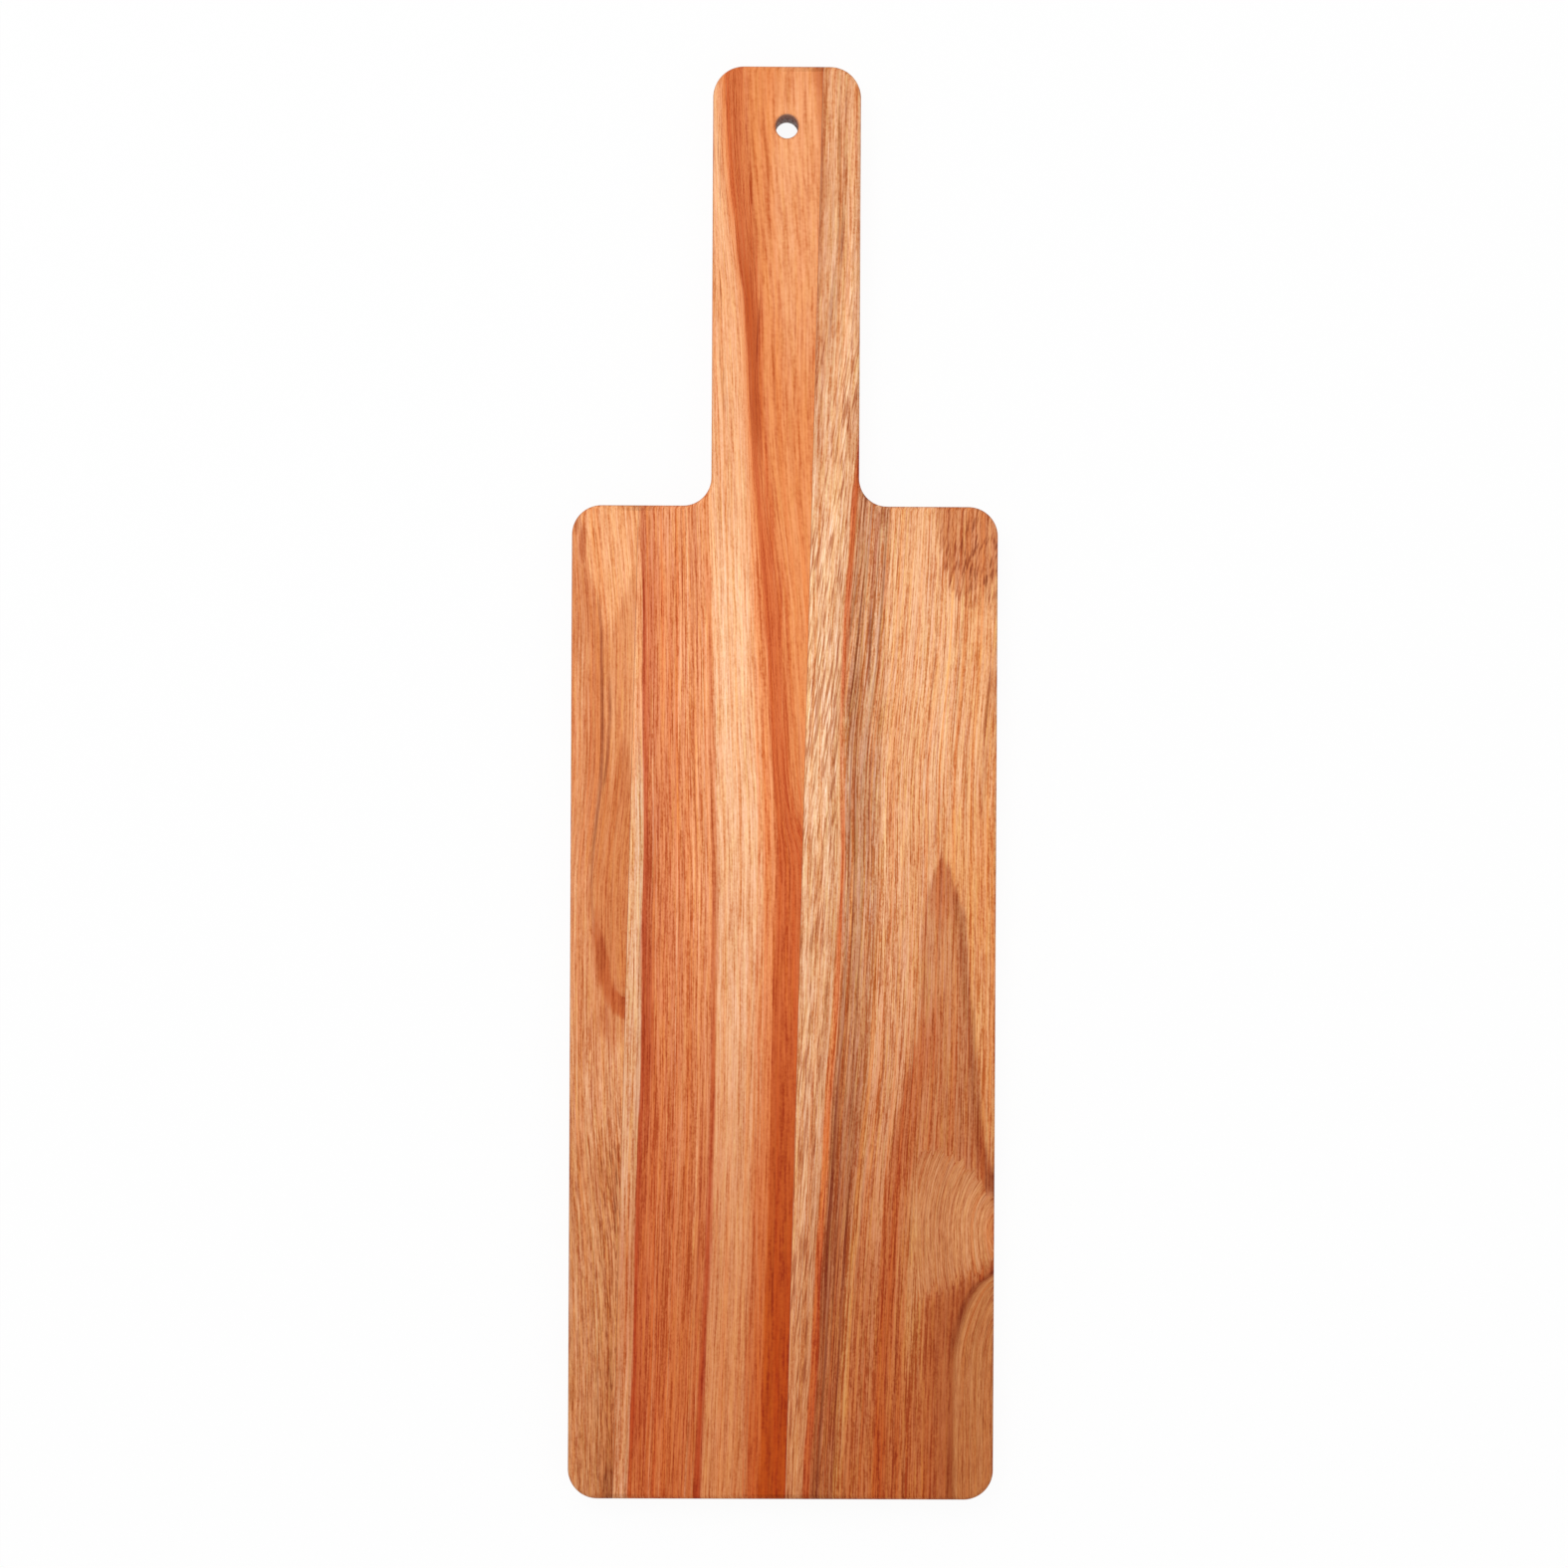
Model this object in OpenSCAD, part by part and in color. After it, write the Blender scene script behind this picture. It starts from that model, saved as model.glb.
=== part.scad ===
// Paddle serving board: three wooden staves, edge-glued into one flat panel, sawn to a paddle outline,
// drilled for hanging and rounded over along every edge.
// It lies flat: X runs across the board, +Y towards the handle, +Z up. The origin is under its middle.

/* [Body] */
// Length of the body, from the foot to the shoulders
body_length = 352.5; // [260:0.5:460]
// Width of the body
body_width = 151; // [130:0.5:220]
// Corner radius of the body
body_corner_radius = 10.5; // [4:0.5:20]
// Thickness of the panel
thickness = 15; // [9:0.5:25]

/* [Handle] */
// Length of the handle, from the shoulders to the tip
handle_length = 155.5; // [110:0.5:220]
// Width of the handle
handle_width = 52.4; // [38:0.2:80]
// Corner radius of the handle's tip
handle_tip_radius = 11; // [4:0.5:18]
// Radius of the fillets where the handle runs into the shoulders
neck_fillet_radius = 10; // [4:0.5:20]

/* [Edges] */
// Radius of the round-over that follows the outline on both faces
edge_radius = 2; // [0.5:0.25:3.5]

/* [Hang hole] */
// Diameter of the hang hole
hole_diameter = 8; // [4:0.5:14]
// Distance of the hole's centre from the handle's tip
hole_setback = 21.5; // [16:0.5:40]
// Width of the chamfer on both rims of the hole
hole_chamfer = 1; // [0.25:0.25:2.5]

/* [Staves] */
// Distance of the left joint from the middle of the board, square to the joint
left_joint = 54; // [45:0.1:60]
// Distance of the right joint from the middle of the board, square to the joint
right_joint = 7.3; // [2:0.1:14]
// Slant of both joints to the length of the board, in degrees
joint_slant = 1.25; // [0:0.05:2]
// Thickness of the cured glue in each joint
glue_thickness = 0.15; // [0.05:0.05:0.5]

/* [Hidden] */
$fn = 96;

// Lengthwise places, measured from the middle of the board
board_length = body_length + handle_length;
foot = -board_length / 2;
shoulder = foot + body_length;
tip = board_length / 2;

// Crosswise places on the right half
half_body = body_width / 2;
half_handle = handle_width / 2;
neck = half_handle + neck_fillet_radius;

// How far a cutting shape runs past the wood
overrun = 1;

// Slabs that part the staves reach past every corner of the board
slab_reach = board_length + body_width;

left_stave_tone = [0.80, 0.49, 0.27];
centre_stave_tone = [0.88, 0.62, 0.40];
right_stave_tone = [0.84, 0.58, 0.36];
glue_tone = [0.52, 0.24, 0.12];

// The core reaches halfway across the flat part of the rim, so the two overlap all the way round.
body_inset = (body_corner_radius + edge_radius) / 2;
handle_inset = (handle_tip_radius + edge_radius) / 2;

// The inside corners run as far into the wood as the wider rim does.
neck_overlap = max(body_corner_radius, handle_tip_radius);

// Right half of the full-thickness core, from the foot up; the rounded rim stands around it.
core_right = [
    [half_body - body_corner_radius, foot + body_inset],
    [half_body - body_inset, foot + body_corner_radius],
    [half_body - body_inset, shoulder - body_corner_radius],
    [half_body - body_corner_radius, shoulder - body_inset],
    [half_handle - handle_inset, shoulder - body_inset],
    [half_handle - handle_inset, tip - handle_tip_radius],
    [half_handle - handle_tip_radius, tip - handle_inset]
];
core_left = [for (i = [len(core_right) - 1:-1:0]) [-core_right[i][0], core_right[i][1]]];

// Quarter disc in the first quadrant: the section of one rounded edge.
module quarter_disc(radius) {
    intersection() {
        circle(radius);
        square(radius);
    }
}

// Section through the rim of the panel: x runs outwards to the edge, y is the height.
module rim_section(width) {
    flat = width - edge_radius;
    square([flat, thickness]);
    translate([flat, edge_radius]) square([edge_radius, thickness - 2 * edge_radius]);
    translate([flat, thickness - edge_radius]) quarter_disc(edge_radius);
    translate([flat, edge_radius]) mirror([0, 1]) quarter_disc(edge_radius);
}

// Straight rim: its edge faces +X at x = 0, and it runs along +Y.
module straight_rim(width, length) {
    translate([-width, length, 0]) rotate([90, 0, 0]) linear_extrude(length) rim_section(width);
}

// Outside corner: a quarter turn of the rim about the centre of the corner's arc.
module outside_corner(radius) {
    rotate_extrude(angle = 90) rim_section(radius);
}

// Inside corner: the rim turned about the centre of the neck fillet, which lies off the wood,
// and trimmed square inside the core.
module inside_corner() {
    side = neck_fillet_radius + neck_overlap;
    depth = side * sqrt(2);
    intersection() {
        rotate([0, 0, 180]) rotate_extrude(angle = 90)
            translate([neck_fillet_radius + depth, 0]) mirror([1, 0]) rim_section(depth);
        translate([-side, -side, -overrun])
            cube([side + overrun, side + overrun, thickness + 2 * overrun]);
    }
}

// Rim of the right half, from the middle of the foot round to the middle of the tip.
module half_rim() {
    translate([0, foot, 0]) rotate([0, 0, -90])
        straight_rim(body_corner_radius, half_body - body_corner_radius);
    translate([half_body - body_corner_radius, foot + body_corner_radius, 0]) rotate([0, 0, -90])
        outside_corner(body_corner_radius);
    translate([half_body, foot + body_corner_radius, 0])
        straight_rim(body_corner_radius, body_length - 2 * body_corner_radius);
    translate([half_body - body_corner_radius, shoulder - body_corner_radius, 0])
        outside_corner(body_corner_radius);
    translate([half_body - body_corner_radius, shoulder, 0]) rotate([0, 0, 90])
        straight_rim(body_corner_radius, half_body - body_corner_radius - neck);
    translate([neck, shoulder + neck_fillet_radius, 0]) inside_corner();
    translate([half_handle, shoulder + neck_fillet_radius, 0])
        straight_rim(handle_tip_radius, handle_length - neck_fillet_radius - handle_tip_radius);
    translate([half_handle - handle_tip_radius, tip - handle_tip_radius, 0])
        outside_corner(handle_tip_radius);
    translate([half_handle - handle_tip_radius, tip, 0]) rotate([0, 0, 90])
        straight_rim(handle_tip_radius, half_handle - handle_tip_radius);
}

// Drill for the hang hole, with a chamfer on each rim.
module hang_hole() {
    bore = hole_diameter / 2;
    mouth = bore + hole_chamfer + overrun;
    translate([0, tip - hole_setback, 0]) rotate_extrude() polygon([
        [0, -overrun],
        [mouth, -overrun],
        [bore, hole_chamfer],
        [bore, thickness - hole_chamfer],
        [mouth, thickness + overrun],
        [0, thickness + overrun]
    ]);
}

// The whole panel after glueing, sawing, drilling and rounding over, before it is told apart by stave.
module panel() {
    difference() {
        union() {
            linear_extrude(thickness) polygon(concat(core_right, core_left));
            for (side = [0, 1]) mirror([side, 0, 0]) half_rim();
        }
        hang_hole();
    }
}

// Part of the panel between two distances from its middle, measured square to the slanted joints.
module between(from, to) {
    intersection() {
        panel();
        rotate([0, 0, -joint_slant]) translate([from, -slab_reach, -overrun])
            cube([to - from, 2 * slab_reach, thickness + 2 * overrun]);
    }
}

module left_stave() {
    color(left_stave_tone) between(-slab_reach, -left_joint - glue_thickness / 2);
}

module left_glue_line() {
    color(glue_tone) between(-left_joint - glue_thickness / 2, -left_joint + glue_thickness / 2);
}

module centre_stave() {
    color(centre_stave_tone) between(-left_joint + glue_thickness / 2, right_joint - glue_thickness / 2);
}

module right_glue_line() {
    color(glue_tone) between(right_joint - glue_thickness / 2, right_joint + glue_thickness / 2);
}

module right_stave() {
    color(right_stave_tone) between(right_joint + glue_thickness / 2, slab_reach);
}

left_stave();
centre_stave();
right_stave();
left_glue_line();
right_glue_line();
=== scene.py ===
"""Dresses a paddle serving board: three glued staves of figured wood, rounded over and drilled for hanging.

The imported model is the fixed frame: X runs across the board, +Y towards the handle's tip and +Z up from the
underside. Sizes in this file are in millimetres, and a mesh is put into metres when it is written.
The figure of the wood is drawn by shader nodes on Object coordinates, so it runs through the whole thickness
and shows on the edges, the ends and the underside too.
"""

import logging
import math
from dataclasses import dataclass, field
from enum import Enum
from typing import ClassVar, Iterable, Mapping, Optional, Sequence, Union

import bpy
import numpy as np
from mathutils.geometry import delaunay_2d_cdt
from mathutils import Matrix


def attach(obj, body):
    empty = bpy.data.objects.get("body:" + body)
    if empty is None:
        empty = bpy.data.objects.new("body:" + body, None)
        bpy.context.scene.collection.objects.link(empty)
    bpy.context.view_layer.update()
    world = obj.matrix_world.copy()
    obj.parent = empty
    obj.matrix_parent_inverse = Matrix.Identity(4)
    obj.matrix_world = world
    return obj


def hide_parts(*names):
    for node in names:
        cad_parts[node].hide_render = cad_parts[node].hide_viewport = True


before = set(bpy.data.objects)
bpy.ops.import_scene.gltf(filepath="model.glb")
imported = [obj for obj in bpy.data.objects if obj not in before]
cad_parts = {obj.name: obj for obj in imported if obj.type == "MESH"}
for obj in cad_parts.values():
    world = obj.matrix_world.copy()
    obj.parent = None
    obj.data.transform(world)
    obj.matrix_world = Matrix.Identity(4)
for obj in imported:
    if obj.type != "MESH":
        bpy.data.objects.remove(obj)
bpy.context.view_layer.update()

log = logging.getLogger("serving_board")

METRES_PER_MM = 0.001

Points = tuple[tuple[float, float], ...]


# Sizes of the board


@dataclass(frozen=True)
class BoardSizes:
    """Sizes of the whole board in millimetres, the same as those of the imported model."""

    body_length: float = 352.5
    body_width: float = 151.0
    body_corner_radius: float = 10.5
    thickness: float = 15.0
    handle_length: float = 155.5
    handle_width: float = 52.4
    handle_tip_radius: float = 11.0
    neck_fillet_radius: float = 10.0
    edge_radius: float = 2.0
    hole_radius: float = 4.0
    hole_setback: float = 21.5
    hole_ease: float = 1.0
    left_joint: float = 54.0
    right_joint: float = 7.3
    joint_slant: float = 1.25
    glue_thickness: float = 0.15

    @property
    def length(self) -> float:
        """Whole length of the board."""
        return self.body_length + self.handle_length

    @property
    def tip(self) -> float:
        """Place of the handle's tip along Y; the foot lies as far the other way."""
        return self.length / 2

    @property
    def shoulder(self) -> float:
        """Place of the shoulders along Y."""
        return self.body_length - self.length / 2

    @property
    def hole_centre(self) -> tuple[float, float]:
        """Middle of the hang hole."""
        return 0.0, self.tip - self.hole_setback


BOARD = BoardSizes()


# Outlines and meshes


INSIDE_ONLY = 1
WELD_DISTANCE = 1e-7


class Corner(Enum):
    """How one side of an outline runs into the next."""

    ROUND_OUT = 1
    ROUND_IN = -1
    SHARP = 0


@dataclass(frozen=True)
class Side:
    """One straight side of an outline, and the corner that ends it.

    Attributes:
        facing: direction that the side faces, in degrees from +X.
        reach: distance of the side from the origin along that direction.
        rim: True where the round-over runs along the side, False at a glue joint.
        corner: how the side runs into the next one.
        radius: radius of that corner.
    """

    facing: float
    reach: float
    rim: bool = True
    corner: Corner = Corner.SHARP
    radius: float = 0.0

    @property
    def normal(self) -> np.ndarray:
        """Unit vector that the side faces along."""
        angle = math.radians(self.facing)
        return np.array([math.cos(angle), math.sin(angle)])


@dataclass(frozen=True)
class Outline:
    """A closed outline of straight sides, counter-clockwise, that can be drawn in from its rim.

    Attributes:
        sides: the sides in order.
        arc_steps: steps along each rounded corner.
    """

    sides: tuple[Side, ...]
    arc_steps: int = 24

    def rings(self, insets: np.ndarray) -> tuple[np.ndarray, np.ndarray, np.ndarray]:
        """Draws the outline at several insets at once.

        A rounded corner keeps the centre of its arc, and its radius shrinks by the inset where it bulges out
        and grows by it where it is hollow. At a sharp corner the rim's side moves in and the joint's stays.

        Args:
            insets: distances that the rim is drawn in by.

        Returns:
            The points, by inset and place along the outline; the direction that each point faces; and for
            each step from a point to the next, whether it runs along the rim.
        """
        points, facings, on_rim = [], [], []
        for side, following in zip(self.sides, self.sides[1:] + self.sides[:1]):
            axes = np.array([side.normal, following.normal])
            if side.corner is Corner.SHARP:
                moves = np.outer(insets, [side.rim, following.rim])
                spots = (np.array([side.reach, following.reach]) - moves) @ np.linalg.inv(axes).T
                points.append(spots[:, None, :])
                facings.append((axes[0] if side.rim else axes[1])[None, :])
                on_rim.append([following.rim])
                continue
            bulge = side.corner.value
            centre = np.linalg.inv(axes) @ (np.array([side.reach, following.reach]) - bulge * side.radius)
            angles = np.radians(np.linspace(side.facing, following.facing, self.arc_steps + 1))
            spokes = np.stack([np.cos(angles), np.sin(angles)], axis=1)
            reach = bulge * side.radius - insets
            points.append(centre + reach[:, None, None] * spokes)
            facings.append(spokes)
            on_rim.append([True] * self.arc_steps + [following.rim])
        return np.concatenate(points, axis=1), np.concatenate(facings), np.concatenate(on_rim)


@dataclass(frozen=True)
class EdgeProfile:
    """Section of the board's edge: round-overs at both faces and the straight wall between them.

    Attributes:
        radius: radius of the round-overs.
        thickness: thickness of the board.
        steps: steps along each round-over.
    """

    radius: float
    thickness: float
    steps: int = 10

    def levels(self) -> tuple[np.ndarray, np.ndarray, np.ndarray]:
        """Goes down the edge from the serving face to the underside.

        With an angle a from 0 to 90 degrees, a round-over of radius r lies r (1 - sin a) inside the edge and
        r (1 - cos a) from its face; the turn away from the face is sin a.

        Returns:
            The inset, the height and the turn at each level.
        """
        angle = np.linspace(0, np.pi / 2, self.steps + 1)
        inset = self.radius * (1 - np.sin(angle))
        drop = self.radius * (1 - np.cos(angle))
        insets = np.concatenate([inset, inset[::-1]])
        heights = np.concatenate([self.thickness - drop, drop[::-1]])
        turns = np.concatenate([np.sin(angle), np.sin(angle)[::-1]])
        return insets, heights, turns


@dataclass(frozen=True)
class HoleWall:
    """Wall of the hang hole, with an eased rim at both faces.

    Attributes:
        centre: middle of the hole.
        radius: radius of the bore.
        ease: width of the eased rim.
        thickness: thickness of the board.
        turns: points round the hole.
        steps: steps along each eased rim.
    """

    centre: tuple[float, float]
    radius: float
    ease: float
    thickness: float
    turns: int = 64
    steps: int = 6

    def grid(self) -> tuple[np.ndarray, np.ndarray, np.ndarray]:
        """Turns the profile about the hole's axis, from the serving face to the underside.

        The eased rim lies midway between a flat chamfer and a quarter round, so its two edges are soft.

        Returns:
            The points by level and place round the hole; the turn away from the face by level; and the
            directions that the wall faces.
        """
        angle = np.linspace(0, np.pi / 2, self.steps + 1)
        share = angle / (np.pi / 2)
        run = self.ease * (1 - (np.sin(angle) + share) / 2)
        drop = self.ease * ((1 - np.cos(angle)) + share) / 2
        radii = self.radius + np.concatenate([run, run[::-1]])
        heights = np.concatenate([self.thickness - drop, drop[::-1]])
        turn = np.concatenate([np.sin(angle), np.sin(angle)[::-1]])
        around = np.linspace(0, 2 * np.pi, self.turns, endpoint=False)
        spokes = np.stack([np.cos(around), np.sin(around)], axis=1)
        flat = np.array(self.centre) + radii[:, None, None] * spokes
        tall = np.broadcast_to(heights[:, None, None], flat.shape[:2] + (1,))
        return np.concatenate([flat, tall], axis=2), turn, -spokes


def strip_faces(levels: int, around: int, start: int, outward: bool) -> np.ndarray:
    """Joins each level of a closed grid to the next by four-cornered faces.

    Args:
        levels: number of levels, from the top down.
        around: points on each level, counter-clockwise.
        start: index of the grid's first point.
        outward: True to face away from the grid's middle, False to face it.

    Returns:
        The corners of each face, one row each, level by level.
    """
    level, place = np.meshgrid(np.arange(levels - 1), np.arange(around), indexing="ij")
    after = (place + 1) % around
    upper, lower = start + level * around, start + (level + 1) * around
    faces = np.stack([upper + place, lower + place, lower + after, upper + after], axis=-1).reshape(-1, 4)
    return faces if outward else faces[:, ::-1]


def fill_face(loops: Sequence[np.ndarray], starts: Sequence[int]) -> np.ndarray:
    """Fills a flat outline, less the loops inside it, with triangles.

    Args:
        loops: the outline's points and those of each hole, on the plane of the face.
        starts: index in the mesh of each loop's first point.

    Returns:
        The corners of each triangle, counter-clockwise, one row each.
    """
    flat = np.concatenate(loops)
    names = np.concatenate([start + np.arange(len(loop)) for loop, start in zip(loops, starts)])
    edges, first = [], 0
    for loop in loops:
        places = first + np.arange(len(loop))
        edges.append(np.stack([places, np.roll(places, -1)], axis=1))
        first += len(loop)
    drawn = delaunay_2d_cdt(flat.tolist(), np.concatenate(edges).tolist(), [], INSIDE_ONLY, WELD_DISTANCE)
    origin = np.array([found[0] for found in drawn[3]])
    triangles = origin[np.array(drawn[2])]
    kept = np.ones(len(triangles), bool)
    middles = flat[triangles].mean(axis=1)
    for hole in loops[1:]:
        centre = hole.mean(axis=0)
        kept &= np.linalg.norm(middles - centre, axis=1) > np.linalg.norm(hole[0] - centre)
    triangles = triangles[kept]
    one, two = (flat[triangles[:, k]] - flat[triangles[:, 0]] for k in (1, 2))
    clockwise = one[:, 0] * two[:, 1] < one[:, 1] * two[:, 0]
    triangles[clockwise] = triangles[clockwise][:, ::-1]
    return names[triangles]


@dataclass
class Plank:
    """One solid of the board: an outline carried down the edge profile and closed by two flat faces.

    Attributes:
        name: name of the piece.
        node: CAD node that the piece stands for.
        slot: material slot of the record.
        outline: outline of the piece.
        hole: wall of the hang hole, where the piece has it.
        profile: section of its edge.
    """

    name: str
    node: str
    slot: str
    outline: Outline
    hole: Optional[HoleWall] = None
    profile: EdgeProfile = field(default_factory=lambda: EdgeProfile(BOARD.edge_radius, BOARD.thickness))

    def build(self) -> bpy.types.Object:
        """Makes the piece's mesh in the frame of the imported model.

        Returns:
            The object, riding on the board and standing for its CAD node.
        """
        insets, heights, turns = self.profile.levels()
        rings, facings, on_rim = self.outline.rings(insets)
        levels, around = rings.shape[:2]
        tall = np.broadcast_to(heights[:, None, None], (levels, around, 1))
        points = [np.concatenate([rings, tall], axis=2).reshape(-1, 3)]
        turned = [np.repeat(turns, around)]
        ends = [np.outer(turns, np.abs(facings[:, 1])).ravel()]
        bore_shades = [np.zeros(levels * around)]
        smooth_faces = strip_faces(levels, around, 0, outward=True)
        smooth = np.tile(on_rim, levels - 1)
        tops, tops_at = [rings[0]], [0]
        bottoms, bottoms_at = [rings[-1]], [(levels - 1) * around]
        if self.hole is not None:
            wall, wall_turn, wall_facing = self.hole.grid()
            start = levels * around
            points.append(wall.reshape(-1, 3))
            turned.append(np.repeat(wall_turn, self.hole.turns))
            ends.append(np.zeros(len(wall) * self.hole.turns))
            # Share of painted shade on the hole's wall: full on the tip side, which faces away from the
            # light, half at the sides and none on the foot side.
            bore_shades.append(np.outer(wall_turn, 0.5 - wall_facing[:, 1] / 2).ravel())
            wall_faces = strip_faces(len(wall), self.hole.turns, start, outward=False)
            smooth_faces = np.concatenate([smooth_faces, wall_faces])
            smooth = np.concatenate([smooth, np.ones(len(wall_faces), bool)])
            tops.append(wall[0, :, :2])
            tops_at.append(start)
            bottoms.append(wall[-1, :, :2])
            bottoms_at.append(start + (len(wall) - 1) * self.hole.turns)
        top = fill_face(tops, tops_at)
        bottom = fill_face(bottoms, bottoms_at)[:, ::-1]
        faces = smooth_faces.tolist() + top.tolist() + bottom.tolist()
        smooth = np.concatenate([smooth, np.zeros(len(top) + len(bottom), bool)])

        mesh = bpy.data.meshes.new(self.name)
        mesh.from_pydata((np.concatenate(points) * METRES_PER_MM).tolist(), [], faces)
        mesh.polygons.foreach_set("use_smooth", smooth)
        for name, values in (("turn", turned), ("end", ends), ("bore", bore_shades)):
            layer = mesh.attributes.new(name, "FLOAT", "POINT")
            layer.data.foreach_set("value", np.concatenate(values).astype(np.float32))
        mesh.validate()
        mesh.update()
        return self.place(mesh)

    def place(self, mesh: bpy.types.Mesh) -> bpy.types.Object:
        """Adds the piece to the scene.

        Args:
            mesh: its mesh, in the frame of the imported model.

        Returns:
            The object, riding on the board and standing for its CAD node.
        """
        piece = bpy.data.objects.new(self.name, mesh)
        bpy.context.scene.collection.objects.link(piece)
        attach(piece, "root")
        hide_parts(self.node)
        return piece


# Node writing


Feed = Union["Reading", bpy.types.NodeSocket, float, Sequence[float]]
Finish = Union[bpy.types.Material, bpy.types.World]


class Blend(Enum):
    """How one colour is laid over another."""

    COVER = "MIX"
    STAIN = "MULTIPLY"


class Reading:
    """A number that changes over a surface: one socket, with arithmetic that adds Math nodes."""

    CORE: ClassVar[float] = 0.2

    def __init__(self, bench: "Bench", socket: bpy.types.NodeSocket) -> None:
        """Wraps a socket of a bench's material."""
        self.bench = bench
        self.socket = socket

    def __add__(self, other: Feed) -> "Reading":
        """Adds a number or reading."""
        return self.bench.math("ADD", self, other)

    __radd__ = __add__

    def __sub__(self, other: Feed) -> "Reading":
        """Takes away a number or reading."""
        return self.bench.math("SUBTRACT", self, other)

    def __rsub__(self, other: Feed) -> "Reading":
        """Is taken away from a number."""
        return self.bench.math("SUBTRACT", other, self)

    def __mul__(self, other: Feed) -> "Reading":
        """Multiplies by a number or reading."""
        return self.bench.math("MULTIPLY", self, other)

    __rmul__ = __mul__

    def __neg__(self) -> "Reading":
        """Turns the sign."""
        return self * -1.0

    def __truediv__(self, other: Feed) -> "Reading":
        """Divides by a number or reading."""
        return self.bench.math("DIVIDE", self, other)

    def __abs__(self) -> "Reading":
        """Drops the sign."""
        return self.bench.math("ABSOLUTE", self)

    def at_least(self, floor: Feed) -> "Reading":
        """Raises what is lower than the floor to it."""
        return self.bench.math("MAXIMUM", self, floor)

    def at_most(self, ceiling: Feed) -> "Reading":
        """Lowers what is higher than the ceiling to it."""
        return self.bench.math("MINIMUM", self, ceiling)

    def share(self) -> "Reading":
        """Keeps the number between 0 and 1."""
        return self.bench.math("ADD", self, 0.0, clamp=True)

    def ease(self, start: float, end: float) -> "Reading":
        """Goes smoothly from 0 to 1.

        Args:
            start: where it is 0; it may be the higher one.
            end: where it is 1.

        Returns:
            The share of the way.
        """
        low, high, first, last = (start, end, 0.0, 1.0) if start < end else (end, start, 1.0, 0.0)
        node = self.bench.node(
            "ShaderNodeMapRange",
            {"interpolation_type": "SMOOTHSTEP"},
            {"Value": self, "From Min": low, "From Max": high, "To Min": first, "To Max": last},
        )
        return Reading(self.bench, node.outputs[0])

    def between(self, start: float, full: float, fading: float, end: float) -> "Reading":
        """Rises from start to full and falls again from fading to end."""
        return self.ease(start, full) * self.ease(end, fading)

    def line(self, width: float) -> "Reading":
        """Is 1 about where the number is 0 and fades out at that width to either side."""
        return abs(self).ease(width, width * self.CORE)


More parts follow.
